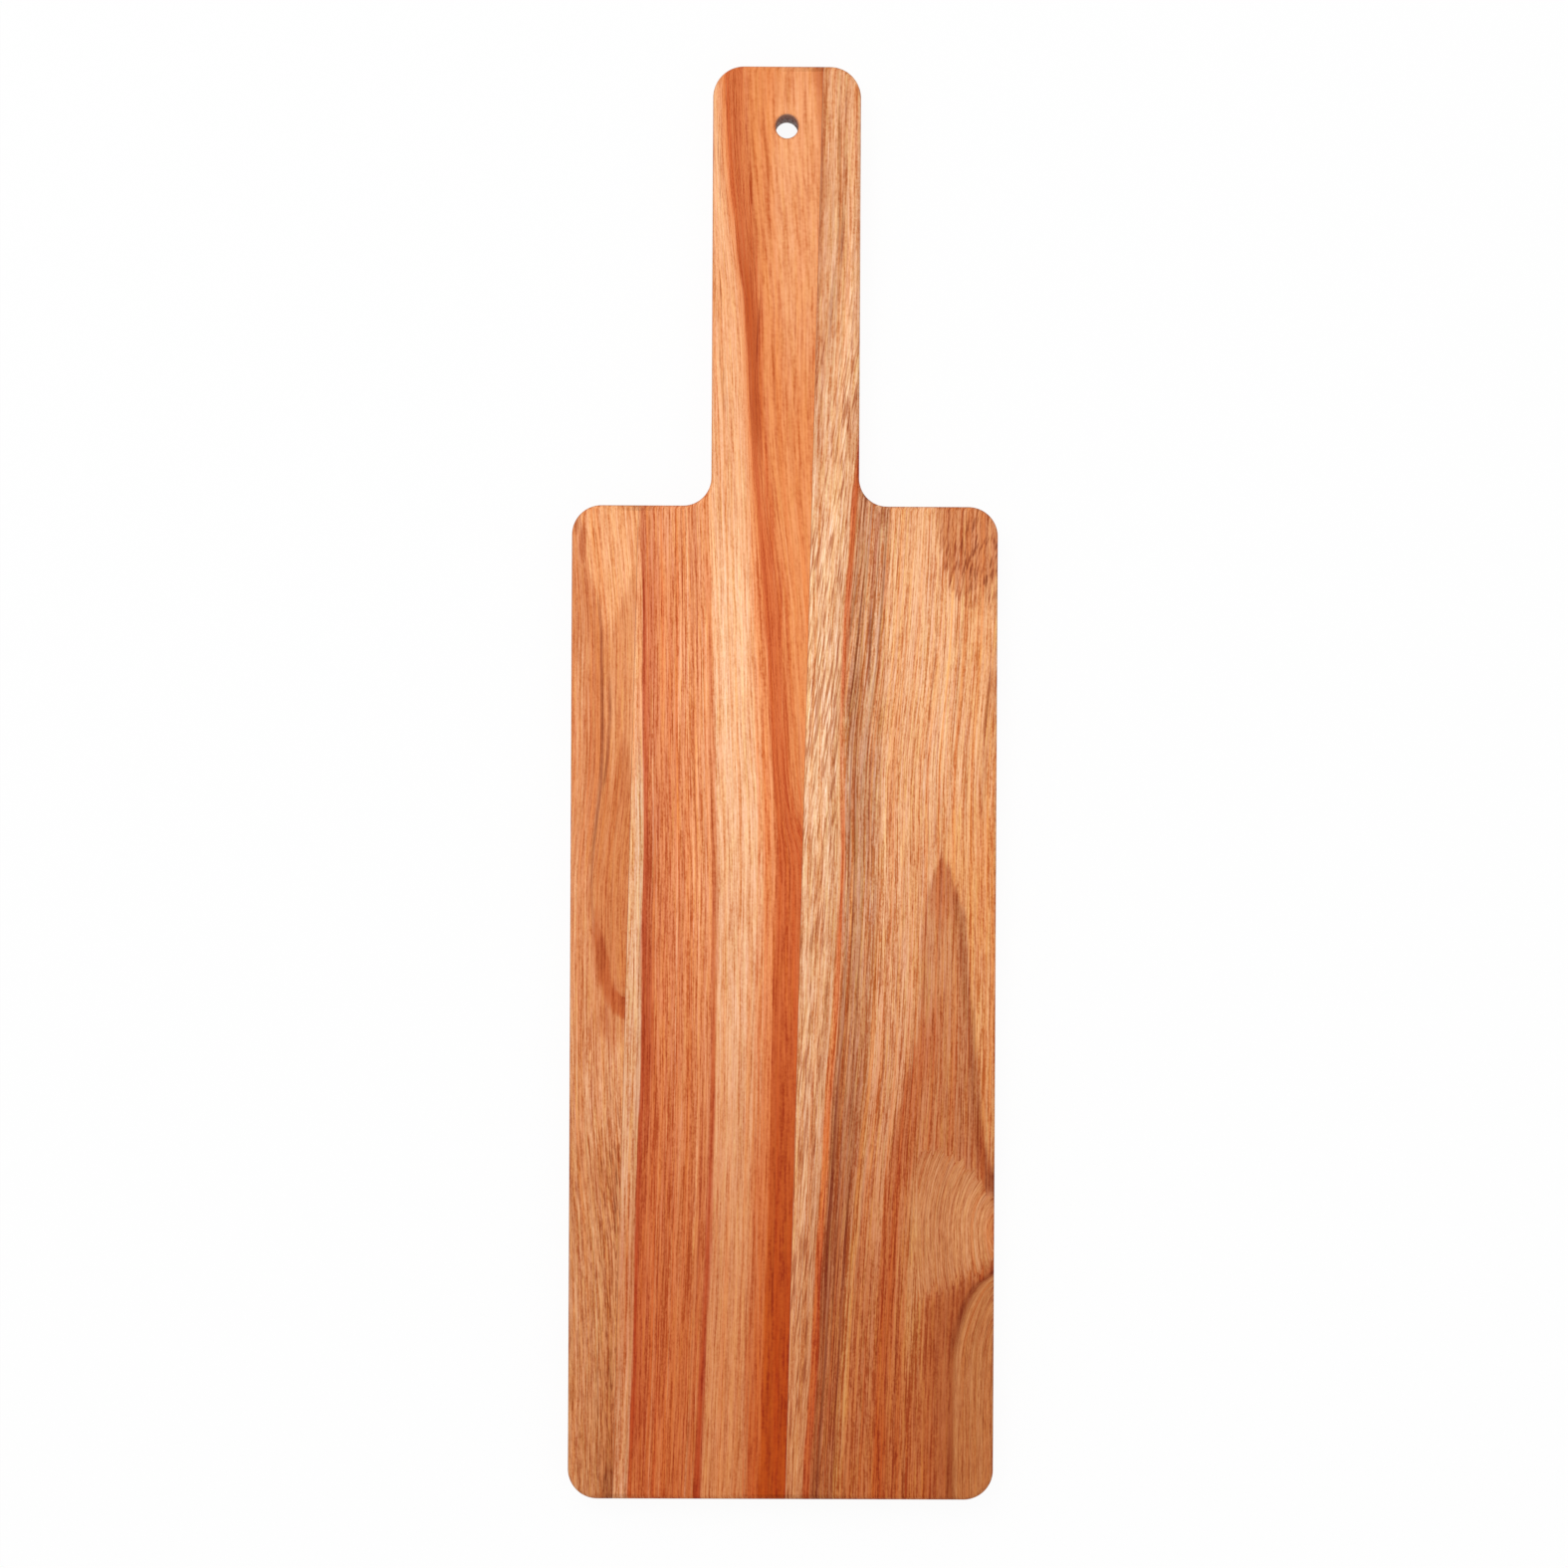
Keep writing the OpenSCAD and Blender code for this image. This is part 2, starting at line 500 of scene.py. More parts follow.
class Bench:
    """Writes the nodes of one material or of the world."""

    NOISE_MIDDLE: ClassVar[float] = 0.5
    NOISE_SWING: ClassVar[float] = 4.0
    NOISE_ROUGHNESS: ClassVar[float] = 0.5

    def __init__(self, owner: Finish) -> None:
        """Empties the owner's nodes.

        Args:
            owner: the material or the world.
        """
        self.owner = owner
        owner.use_nodes = True
        self.tree = owner.node_tree
        self.tree.nodes.clear()

    def node(
        self,
        kind: str,
        settings: Optional[Mapping[str, object]] = None,
        sockets: Optional[Mapping[Union[int, str], Feed]] = None,
    ) -> bpy.types.Node:
        """Adds one node.

        Args:
            kind: Blender's type of the node.
            settings: values of its properties, which are set first; "curve" holds a curve's points.
            sockets: what goes into its inputs, by name or place: a reading, a socket, or plain values.

        Returns:
            The node.
        """
        node = self.tree.nodes.new(kind)
        for name, setting in (settings or {}).items():
            if name == "curve":
                self.bend(node.mapping, setting)
            else:
                setattr(node, name, setting)
        for name, feed in (sockets or {}).items():
            entry = node.inputs[name]
            if isinstance(feed, Reading):
                self.tree.links.new(feed.socket, entry)
            elif isinstance(feed, bpy.types.NodeSocket):
                self.tree.links.new(feed, entry)
            else:
                entry.default_value = feed
        return node

    @staticmethod
    def bend(mapping: bpy.types.CurveMapping, points: Points) -> None:
        """Lays a curve's points out, with smooth handles that don't overshoot.

        Args:
            mapping: the curve of a node.
            points: the points from left to right.
        """
        curve = mapping.curves[0]
        while len(curve.points) < len(points):
            curve.points.new(0.5, 0.5)
        for spot, place in zip(curve.points, points):
            spot.location = place
            spot.handle_type = "AUTO_CLAMPED"
        mapping.update()

    def math(self, operation: str, *terms: Feed, clamp: bool = False) -> Reading:
        """Adds a Math node.

        Args:
            operation: what it works out.
            terms: the numbers or readings that go into it.
            clamp: whether the outcome is kept between 0 and 1.

        Returns:
            The outcome.
        """
        settings = {"operation": operation, "use_clamp": clamp}
        node = self.node("ShaderNodeMath", settings, dict(enumerate(terms)))
        return Reading(self, node.outputs[0])

    def vector(self, x: Feed, y: Feed, z: Feed) -> bpy.types.NodeSocket:
        """Joins three numbers into a vector."""
        return self.node("ShaderNodeCombineXYZ", None, {0: x, 1: y, 2: z}).outputs[0]

    def colour(
        self, share: Feed, under: Feed, over: Feed, blend: Blend = Blend.COVER
    ) -> bpy.types.NodeSocket:
        """Lays one colour over another by a share, which is kept between 0 and 1."""
        settings = {"data_type": "RGBA", "blend_type": blend.value}
        return self.node("ShaderNodeMix", settings, {0: share, 6: under, 7: over}).outputs[2]

    def number(self, share: Feed, first: Feed, second: Feed) -> Reading:
        """Goes from one number to another by a share, which is kept between 0 and 1."""
        node = self.node("ShaderNodeMix", {"data_type": "FLOAT"}, {0: share, 2: first, 3: second})
        return Reading(self, node.outputs[0])

    def curve(self, share: Feed, points: Points) -> Reading:
        """Reads a curve drawn through given points, with both its axes from 0 to 1."""
        node = self.node("ShaderNodeFloatCurve", {"curve": points}, {"Value": share})
        return Reading(self, node.outputs[0])

    def noise(self, place: Feed, detail: float = 1.0) -> Reading:
        """Reads smooth noise with a grain of one unit.

        Args:
            place: where it is read.
            detail: how far finer noise is added.

        Returns:
            The noise about zero, mostly from -1 to 1.
        """
        sockets = {"Vector": place, "Scale": 1.0, "Detail": detail, "Roughness": self.NOISE_ROUGHNESS}
        node = self.node("ShaderNodeTexNoise", {"noise_dimensions": "3D"}, sockets)
        return (Reading(self, node.outputs[0]) - self.NOISE_MIDDLE) * self.NOISE_SWING

    def place(self) -> list[Reading]:
        """Reads where a point of the piece lies.

        Returns:
            Its place across the board, along it and up, in millimetres.
        """
        spot = self.node("ShaderNodeTexCoord").outputs["Object"]
        axes = self.node("ShaderNodeSeparateXYZ", None, {0: spot}).outputs
        return [Reading(self, axis) / METRES_PER_MM for axis in axes]

    def attribute(self, name: str) -> Reading:
        """Reads a number that the mesh carries."""
        node = self.node("ShaderNodeAttribute", {"attribute_name": name})
        return Reading(self, node.outputs["Fac"])

    def surface(self, shader: bpy.types.NodeSocket) -> Finish:
        """Ends the material or the world.

        Args:
            shader: the shader that it shows.

        Returns:
            The material or the world.
        """
        kind = "World" if isinstance(self.owner, bpy.types.World) else "Material"
        self.node("ShaderNodeOutput" + kind, None, {"Surface": shader})
        return self.owner


# Wood


GLOSS_VEIL = 0.009
DARKEST = 0.002


class Tone(Enum):
    """Colours that cover the wood, as the eye sees them: red, green and blue out of 255."""

    CREAM = (252, 193, 147)
    CREAM_DEEP = (212, 133, 84)
    SAPWOOD = (241, 190, 148)
    SAPWOOD_DEEP = (216, 145, 101)
    APRICOT = (246, 160, 106)
    APRICOT_DEEP = (198, 97, 48)
    EMBER = (214, 109, 61)
    EMBER_DEEP = (180, 74, 28)
    AMBER = (236, 148, 91)
    AMBER_DEEP = (200, 115, 66)
    BRICK = (212, 110, 69)
    BRICK_DEEP = (180, 75, 40)
    RUSSET = (242, 160, 109)
    RUSSET_DEEP = (200, 107, 59)
    ROSE = (229, 140, 92)
    ROSE_DEEP = (203, 107, 60)
    STRAW = (239, 175, 127)
    STRAW_DEEP = (190, 107, 61)
    OAT = (243, 189, 144)
    OAT_DEEP = (210, 138, 91)
    UMBER = (213, 153, 113)
    UMBER_DEEP = (180, 104, 63)
    TAWNY = (214, 146, 102)
    TAWNY_DEEP = (189, 104, 57)
    HONEY = (240, 170, 114)
    HONEY_DEEP = (190, 116, 68)
    CHESTNUT = (228, 148, 99)
    CHESTNUT_DEEP = (206, 136, 89)
    GOLD = (246, 174, 121)
    GOLD_DEEP = (198, 121, 73)
    THREAD = (220, 122, 73)
    THREAD_DEEP = (190, 90, 47)
    RUST = (192, 98, 54)
    COPPER = (210, 124, 72)
    HEART = (172, 88, 48)
    WALNUT = (140, 84, 58)
    GILT = (208, 142, 87)
    ORANGE = (232, 134, 76)
    # Painted shade: the greyed, darkened colour of the hang hole's wall where it faces away from the light.
    BORE = (156, 122, 108)
    PEACH = (240, 166, 115)
    GLUE = (168, 98, 58)

    @property
    def blend(self) -> Blend:
        """A tone hides the wood under it."""
        return Blend.COVER

    @property
    def linear(self) -> tuple[float, ...]:
        """Works the tone out in linear light, less the pale veil that the satin gloss lays over it.

        Returns:
            Red, green, blue and full alpha.
        """
        seen = np.array(self.value) / 255
        light = np.where(seen > 0.04045, ((seen + 0.055) / 1.055) ** 2.4, seen / 12.92)
        return (*np.maximum(light - GLOSS_VEIL, DARKEST).tolist(), 1.0)


class Stain(Enum):
    """Factors on red, green and blue: below 1 for darker parts of the wood, above 1 for paler ones."""

    FIBRE = (0.70, 0.42, 0.24)
    PORE = (0.56, 0.33, 0.20)
    TAUPE = (0.60, 0.48, 0.42)
    PLUM = (0.47, 0.32, 0.30)
    # Stains small smudges in the wood, and is painted shade on the rounded edges.
    SMUDGE_AND_EDGE_SHADE = (0.60, 0.40, 0.30)
    END = (0.66, 0.50, 0.40)
    DASH = (0.60, 0.37, 0.27)
    RED = (0.97, 0.76, 0.56)
    GILD = (1.05, 1.02, 0.80)
    DUSK = (0.78, 0.78, 0.80)
    MAUVE = (0.94, 0.90, 1.10)
    OLIVE = (0.98, 1.05, 0.72)
    PALE = (1.14, 1.32, 1.54)

    @property
    def blend(self) -> Blend:
        """A stain multiplies the wood under it."""
        return Blend.STAIN

    @property
    def linear(self) -> tuple[float, ...]:
        """The stain as a colour with full alpha."""
        return (*self.value, 1.0)


Paint = Union[Tone, Stain]
Stretch = tuple[tuple[float, ...], float, Paint]


@dataclass(frozen=True)
class Lane:
    """A band of growth along a stave, from its own left edge to the next lane's.

    Attributes:
        edge: places (y, x) of its left edge, from the tip down to the foot.
        feather: width over which it takes over from the lane before.
        upper: its tone by the shoulders.
        lower: its tone by the foot, darker in part as painted shade.
        fibre: contrast of its fibres.
        pores: strength of its pores.
        bends: whether the fibres bend along its left edge, or are cut off by it.
    """

    edge: Points
    feather: float
    upper: Tone
    lower: Tone
    fibre: float = 0.5
    pores: float = 0.3
    bends: bool = True

    def course(self, y: np.ndarray) -> np.ndarray:
        """Places of its left edge across the board, at places along it."""
        return np.interp(y, *np.array(self.edge[::-1]).T)


@dataclass(frozen=True)
class Spot:
    """An oval of colour on a stave.

    Attributes:
        x: its middle across the board.
        y: its middle along the board.
        half_width: half its width.
        half_length: half its length.
        strength: share of the paint in its middle.
        paint: its tone or stain.
        uneven: how far noise raises and lowers the strength.
    """

    x: float
    y: float
    half_width: float
    half_length: float
    strength: float
    paint: Paint
    uneven: float = 0.0


@dataclass(frozen=True)
class Streak:
    """A line of colour down a stave.

    Attributes:
        course: places (y, x) of its middle, from the tip down.
        width: distance at which it has faded out to either side.
        reach: places along the board over which it fades in and out again.
        strength: share of the paint in its middle.
        paint: its tone or stain.
        uneven: how far noise raises and lowers the strength.
    """

    course: Points
    width: float
    reach: tuple[float, ...]
    strength: float
    paint: Paint
    uneven: float = 0.0


@dataclass
class StaveWood:
    """Wood of one stave: lanes of growth, fibres that follow them, pores and end grain.

    A point's place across the growth is u = x + lean (z - thickness), and a little wander, so the lanes lean
    as they go down through the board. Between the edges of two lanes the fibres keep their share of the way
    across, so they spread and close up with the lane, and their place is counted in the usual width of each
    lane. A lane that doesn't bend them only cuts across them. The last lane ends at the far edge.

    Attributes:
        name: name of the material.
        seed: shifts the noise, so that no two staves are alike.
        lean: how far the lanes shift sideways for each millimetre of depth.
        lanes: the lanes from left to right.
        far_edge: place across the board where the last lane ends.
    """

    SPAN: ClassVar[float] = 100.0
    GRID_TURN: ClassVar[float] = 0.64
    WANDER: ClassVar[float] = 0.35
    WANDER_SIZE: ClassVar[tuple[float, float, float]] = (30, 95, 18)
    EDGE_RAGGEDNESS: ClassVar[float] = 0.42
    LEAST_RAGGEDNESS: ClassVar[float] = 0.15
    COURSE_STEPS: ClassVar[int] = 101
    LEAST_WIDTH: ClassVar[float] = 0.3
    SPOT_CORE: ClassVar[float] = 0.15
    ROUGHNESS: ClassVar[float] = 0.48
    GLOSS: ClassVar[float] = 0.11
    RELIEF_DEPTH: ClassVar[float] = 0.12
    RELIEF_STRENGTH: ClassVar[float] = 0.22
    # Share from each lane's upper tone to its lower one along the board: partly the wood's own deepening,
    # partly painted shade that darkens the board towards the foot, away from the lamp by the handle.
    WOOD_AND_SHADE_DRIFT: ClassVar[Points] = (
        (254, 0.16), (220, 0.12), (150, 0.1), (98, 0.04), (60, 0.0), (30, 0.02), (-10, 0.11),
        (-60, 0.28), (-110, 0.57), (-160, 0.82), (-200, 0.92), (-254, 1.0),
    )

    name: str
    seed: float
    lean: float
    lanes: tuple[Lane, ...]
    far_edge: float

    def dress(self) -> Finish:
        """Draws the wood from the broad lanes down to the pores, and shades it.

        Returns:
            The finished material.
        """
        self.bench = Bench(bpy.data.materials.new(self.name))
        self.find_place()
        self.lay_lanes()
        self.draw_figure()
        self.draw_fibres()
        self.draw_pores()
        self.draw_edges()
        return self.shade()

    def find_place(self) -> None:
        """Reads the place on the board in millimetres, and what the mesh says of its edges."""
        bench = self.bench
        self.x, self.y, self.z = bench.place()
        self.along = (self.y + BOARD.tip) / BOARD.length
        wide, long, deep = self.WANDER_SIZE
        wander = bench.noise(bench.vector(self.x / wide + self.seed, self.y / long, self.z / deep))
        self.u = self.x + (self.z - BOARD.thickness) * self.lean + wander * self.WANDER
        # Share towards the lower tones: partly the wood's own change, partly painted shade towards the foot.
        self.wood_and_shade_drift = self.level(self.WOOD_AND_SHADE_DRIFT)
        self.turn = bench.attribute("turn")
        self.end = bench.attribute("end")

    def level(self, points: Points) -> Reading:
        """Reads a share that is drawn along the board, by places (y, share) from the tip to the foot."""
        return self.bench.curve(self.along, tuple((y / BOARD.length + 0.5, s) for y, s in points[::-1]))

    def across(self, points: Points) -> Reading:
        """Reads the course of a line down the board, by places (y, x) from the tip to the foot."""
        course = self.level(tuple((y, x / (2 * self.SPAN) + 0.5) for y, x in points))
        return course * (2 * self.SPAN) - self.SPAN

    def arch(self, points: Points) -> Reading:
        """Reads the course of a line across the board.

        Args:
            points: places (x, y) on the line, from left to right.

        Returns:
            The line's place along the board.
        """
        share = self.u / (2 * self.SPAN) + 0.5
        spots = tuple((x / (2 * self.SPAN) + 0.5, y / BOARD.length + 0.5) for x, y in points)
        return (self.bench.curve(share, spots) - 0.5) * BOARD.length

    def blot(self, x: float, y: float, half_width: float, half_length: float) -> Reading:
        """Is 1 in the middle of an oval and fades out at its edge."""
        dx, dy = (self.u - x) / half_width, (self.y - y) / half_length
        return (dx * dx + dy * dy).ease(1.0, self.SPOT_CORE)

    def reach(self, *places: float) -> Reading:
        """Fades in along the board from one place to another, or in and out again over four places."""
        return self.y.ease(*places) if len(places) == 2 else self.y.between(*places)

    def seam(self, course: Points, width: float) -> Reading:
        """Is 1 along a course down the board and fades out at that width to either side."""
        return (self.u - self.across(course)).line(width)

    def streaks(
        self, across: Reading, width: float, length: float, lot: float, detail: float = 1.0
    ) -> Reading:
        """Reads noise drawn out along the board.

        The noise is turned on its own grid, so that the streaks don't end side by side in rows.

        Args:
            across: place across the streaks.
            width: their width.
            length: their length.
            lot: shifts the noise, so that no two sets of streaks are alike.
            detail: how far finer noise is added.

        Returns:
            The noise, about zero.
        """
        place = self.bench.vector(across / width + (self.seed + lot), self.y / length, self.z / (3 * width))
        turned = self.bench.node(
            "ShaderNodeVectorRotate", {"rotation_type": "Z_AXIS"}, {"Vector": place, "Angle": self.GRID_TURN}
        )
        return self.bench.noise(turned.outputs[0], detail)

    def paint(self, share: Feed, paint: Paint) -> None:
        """Covers the wood with a tone, or stains it, by a share."""
        self.colour = self.bench.colour(share, self.colour, paint.linear, paint.blend)

    def tint(self, swing: Reading, above: Stain, below: Stain) -> None:
        """Stains the wood one way where a number is above zero, and another way where it is below."""
        self.paint(swing, above)
        self.paint(-swing, below)

    def paint_stretches(self, zone: Reading, *stretches: Stretch) -> None:
        """Paints stretches of a zone, each by the places that it fades over, its strength and its paint."""
        for places, strength, paint in stretches:
            self.paint(zone * self.reach(*places) * strength, paint)

    def paint_marks(self, noise: Reading, *marks: Union[Spot, Streak]) -> None:
        """Paints spots and streaks.

        Args:
            noise: raises and lowers the strength of the uneven ones.
            marks: the spots and streaks, in the order that they are laid in.
        """
        for mark in marks:
            if isinstance(mark, Spot):
                shape = self.blot(mark.x, mark.y, mark.half_width, mark.half_length)
            else:
                shape = self.seam(mark.course, mark.width) * self.reach(*mark.reach)
            strength = (mark.strength + noise * mark.uneven).share() if mark.uneven else mark.strength
            self.paint(shape * strength, mark.paint)

    def lane_tone(self, lane: Lane) -> bpy.types.NodeSocket:
        """Goes from a lane's upper tone to its lower one along the board; the lower tone is partly painted
        shade.
        """
        return self.bench.colour(self.wood_and_shade_drift, lane.upper.linear, lane.lower.linear)

    def lay_lanes(self) -> None:
        """Lays the lanes from left to right, by how far a point lies past the left edge of each."""
        ragged = self.streaks(self.u, 0.9, 42.0, 3.1, 2.0)
        first = self.lanes[0]
        self.edges = [self.across(lane.edge) for lane in self.lanes]
        self.past = [self.u - edge for edge in self.edges]
        self.colour = self.lane_tone(first)
        self.fibre: Feed = first.fibre
        self.pores: Feed = first.pores
        for lane, past in zip(self.lanes[1:], self.past[1:]):
            beyond = past + ragged * (lane.feather * self.EDGE_RAGGEDNESS + self.LEAST_RAGGEDNESS)
            share = beyond.ease(-lane.feather / 2, lane.feather / 2)
            self.colour = self.bench.colour(share, self.colour, self.lane_tone(lane))
            self.fibre = self.bench.number(share, self.fibre, lane.fibre)
            self.pores = self.bench.number(share, self.pores, lane.pores)
        self.count_grain()

    def count_grain(self) -> None:
        """Works out the place among the fibres, counted from the first lane's edge to the far edge."""
        down = np.linspace(-BOARD.tip, BOARD.tip, self.COURSE_STEPS)
        guides = [(edge, lane.course(down)) for edge, lane in zip(self.edges, self.lanes) if lane.bends]
        guides.append((self.far_edge, np.full_like(down, self.far_edge)))
        self.grain = self.past[0].at_most(0.0) + (self.u - self.far_edge).at_least(0.0)
        for (start, start_course), (end, end_course) in zip(guides, guides[1:]):
            way = ((self.u - start) / (end - start).at_least(self.LEAST_WIDTH)).share()
            self.grain = self.grain + way * float(np.mean(end_course - start_course))

    def draw_figure(self) -> None:
        """Draws what only this stave has; a plain stave has nothing more."""

    def draw_fibres(self) -> None:
        """Draws fibres from broad ones down to flecks along the lanes: dark ones stain, pale ones lighten."""
        broad = self.streaks(self.grain, 4.2, 220.0, 11.0)
        middling = self.streaks(self.grain, 1.6, 120.0, 23.0)
        self.fine = self.streaks(self.grain, 0.75, 44.0, 37.0)
        hair = self.streaks(self.grain, 0.45, 14.0, 41.0)
        flecks = self.streaks(self.grain, 0.6, 2.4, 53.0)
        motes = self.streaks(self.grain, 0.7, 0.9, 57.0, 0.0)
        long_ones = broad * 0.34 + middling * 0.6 + self.fine * 1.35
        self.streak = long_ones + hair * 1.65 + flecks * 0.78 + motes * 0.42
        red = self.streaks(self.grain, 1.2, 160.0, 29.0)
        gold = self.streaks(self.grain, 1.0, 140.0, 31.0)
        dusk = self.streaks(self.grain, 0.6, 110.0, 33.0).ease(0.3, 0.9)
        for strength, stain in ((red * 2.0, Stain.RED), (gold * 1.6, Stain.GILD), (dusk * 0.8, Stain.DUSK)):
            self.paint(strength * self.fibre, stain)
        self.tint(self.streaks(self.grain, 0.7, 16.0, 39.0) * self.fibre, Stain.MAUVE, Stain.OLIVE)
        self.tint(self.streak * self.fibre, Stain.FIBRE, Stain.PALE)

    def draw_pores(self) -> None:
        """Draws short dark pores and longer dark threads along the fibres, thicker in some places."""
        patches = self.streaks(self.u, 14.0, 60.0, 51.0) * 0.12
        spots = self.streaks(self.grain, 0.36, 4.5, 43.0, 0.0)
        threads = self.streaks(self.grain, 0.55, 42.0, 47.0, 0.0)
        self.pore = (spots + patches).ease(0.5, 0.95).at_least((threads + patches).ease(0.45, 0.85))
        self.paint(self.pore * self.pores * 0.75, Stain.PORE)

    def draw_edges(self) -> None:
        """Paints shade on the rounded edges and side walls where they turn away from the face, and draws end
        grain where the fibres are cut across.
        """
        bench = self.bench
        dots = bench.noise(bench.vector(self.u / 0.45, self.y / 9, self.z / 0.45))
        rings = bench.noise(bench.vector(self.u / 1.1 + self.seed, self.y / 80, self.z / 14))
        # Painted shade: the outer part of each round-over and the straight wall are darkened as they turn
        # away from the light.
        self.paint(self.turn.ease(0.7, 1.0) * 0.5, Stain.SMUDGE_AND_EDGE_SHADE)
        self.paint(self.end.ease(0.7, 1.0) * (0.55 + rings * 0.3 + dots * 0.2), Stain.END)

    def shade(self) -> Finish:
        """Gives the wood its oiled satin gloss and the relief of its fibres and pores.

        Returns:
            The finished material.
        """
        rough = (self.ROUGHNESS + self.streak * 0.02 + self.pore * 0.2 + self.end * 0.12).share()
        height = self.fine * 0.25 + self.streak * 0.1 - self.pore
        depth = self.RELIEF_DEPTH * METRES_PER_MM
        relief = self.bench.node(
            "ShaderNodeBump", None, {"Strength": self.RELIEF_STRENGTH, "Distance": depth, "Height": height}
        )
        sockets = {
            "Base Color": self.colour,
            "Roughness": rough,
            "Specular IOR Level": self.GLOSS,
            "Normal": relief.outputs[0],
        }
        shader = self.bench.node("ShaderNodeBsdfPrincipled", None, sockets)
        return self.bench.surface(shader.outputs[0])


@dataclass
class LeftWood(StaveWood):
    """Left stave: honey brown and mottled, with thin dark arcs and a small russet flame."""

    LONG_ARC: ClassVar[Points] = (
        (70, -66.5), (57, -64.9), (40, -64.4), (20, -64.2), (5, -64.6), (-5, -65.4), (-15, -66.5),
        (-25, -67.5), (-35, -68.0), (-50, -67.0), (-58, -65.6),
    )
    SHORT_ARC: ClassVar[Points] = (
        (60, -62.6), (40, -61.8), (28, -61.5), (15, -62.0), (5, -63.0), (-6, -65.0),
    )
    FLAME_LEFT: ClassVar[Points] = (
        (-35, -69), (-48, -67.6), (-58, -67.0), (-66, -66.2), (-72, -64.4), (-78, -62), (-82, -59),
        (-86, -52),
    )
    FLAME_RIGHT: ClassVar[Points] = (
        (-35, -68), (-50, -65.4), (-56, -63.6), (-61, -62), (-68, -61), (-73, -59.6), (-75, -58),
        (-77, -50),
    )
    SPOTS: ClassVar[tuple[Spot, ...]] = (
        Spot(-64.2, -61, 2.4, 9.0, 0.3, Stain.SMUDGE_AND_EDGE_SHADE),
        Spot(-56.6, -77, 2.0, 4.5, 0.3, Stain.SMUDGE_AND_EDGE_SHADE),
        Spot(-66, -47.5, 1.4, 6.0, 0.5, Tone.RUST),
        Spot(-68.8, -41, 1.4, 10.0, 0.4, Tone.RUST),
        Spot(-73.8, 93, 1.8, 6.0, 0.6, Stain.SMUDGE_AND_EDGE_SHADE),
        Spot(-71.6, 85, 1.8, 9.0, 0.7, Tone.RUST),
        Spot(-61, -249, 2.6, 11.0, 0.7, Stain.TAUPE),
        Spot(-60.4, -209, 1.0, 14.0, 0.5, Stain.TAUPE, 0.2),
        Spot(-58.6, -147, 0.9, 17.0, 0.45, Stain.TAUPE, 0.2),
    )

    name: str = "left_stave_wood"
    seed: float = 4.7
    lean: float = 0.35
    far_edge: float = -54.0
    lanes: tuple[Lane, ...] = (
        Lane(((98, -75.5), (-254, -75.5)), 1.0, Tone.CHESTNUT, Tone.CHESTNUT_DEEP, 0.55, 0.45),
        Lane(
            (
                (98, -73.5), (88, -72), (72, -68), (57, -64.4), (40, -63.8), (20, -62.4), (8, -63),
                (-5, -64.5), (-25, -66.5), (-40, -67.4), (-50, -66.4), (-60, -65), (-70, -63),
                (-78, -60.8), (-90, -59.5), (-120, -60.5), (-180, -63), (-254, -65),
            ),
            2.5, Tone.GOLD, Tone.GOLD_DEEP, 0.55, 0.5, bends=False,
        ),
    )

    def draw_figure(self) -> None:
        """Draws the mottle, margin, copper wood, arcs and flame in that order, and last small smudges."""
        self.ragged = self.streaks(self.u, 1.1, 9.0, 61.0, 2.0)
        self.settle_grain()
        self.draw_mottle()
        self.draw_margin()
        self.draw_top()
        self.draw_arcs()
        self.draw_flame()
        self.paint_marks(self.ragged, *self.SPOTS)

    def settle_grain(self) -> None:
        """Calms the fibres and pores, most of all in the upper half, and lets the fibres follow the arcs."""
        calm = self.level(((98, 0.38), (60, 0.34), (0, 0.34), (-70, 0.38), (-100, 0.46), (-254, 0.48))) * 2.0
        self.fibre = self.fibre * calm
        self.pores = self.pores * calm
        self.grain = self.grain - self.across(
            ((98, -5.2), (45, -1.5), (20, -1.5), (-45, -6.1), (-90, -6.1), (-190, -0.6), (-254, 0.0))
        )

    def draw_mottle(self) -> None:
        """Draws soft mottling all over, and flecks, dashes and paler wood in the lower half."""
        mottle = self.bench.noise(self.bench.vector(self.u / 7, self.y / 16, self.z / 7 + self.seed), 2.0)
        self.paint(mottle * 0.2, Stain.FIBRE)
        self.paint(mottle * -0.16, Stain.PALE)
        flecks = self.streaks(self.grain, 0.6, 6.0, 63.0) * self.reach(-70, -115)
        self.tint(flecks * 0.5, Stain.DASH, Stain.PALE)
        self.paint(self.reach(-225, -200, -160, -130) * 0.38, Stain.PALE)
        dashes = self.streaks(self.grain, 0.5, 5.0, 64.0, 0.0).ease(0.3, 0.75) * self.reach(-90, -130)
        self.paint(dashes * (0.3 + self.u.ease(-67, -61) * 0.4), Stain.PORE)

    def draw_margin(self) -> None:
        """Draws straw and red lines along the left margin, and paler wood below the flame."""
        bowed = self.u - self.across(((98, 2.5), (50, 0.5), (0, 0.0), (-254, 0.0)))
        lines = self.streaks(bowed, 0.8, 60.0, 62.0)
        margin = self.u.ease(-66.5, -71.5) * self.level(
            ((98, 0.0), (72, 0.0), (60, 0.3), (40, 0.8), (-100, 0.8), (-130, 0.25), (-254, 0.3))
        )
        self.paint(lines.ease(-0.3, 0.5) * margin * 0.8, Tone.STRAW)
        self.paint((-lines).ease(0.2, 0.9) * margin * 0.4, Stain.RED)
        self.paint(self.u.ease(-73, -66) * self.reach(-140, -120, -100, -82) * 0.75, Stain.PALE)

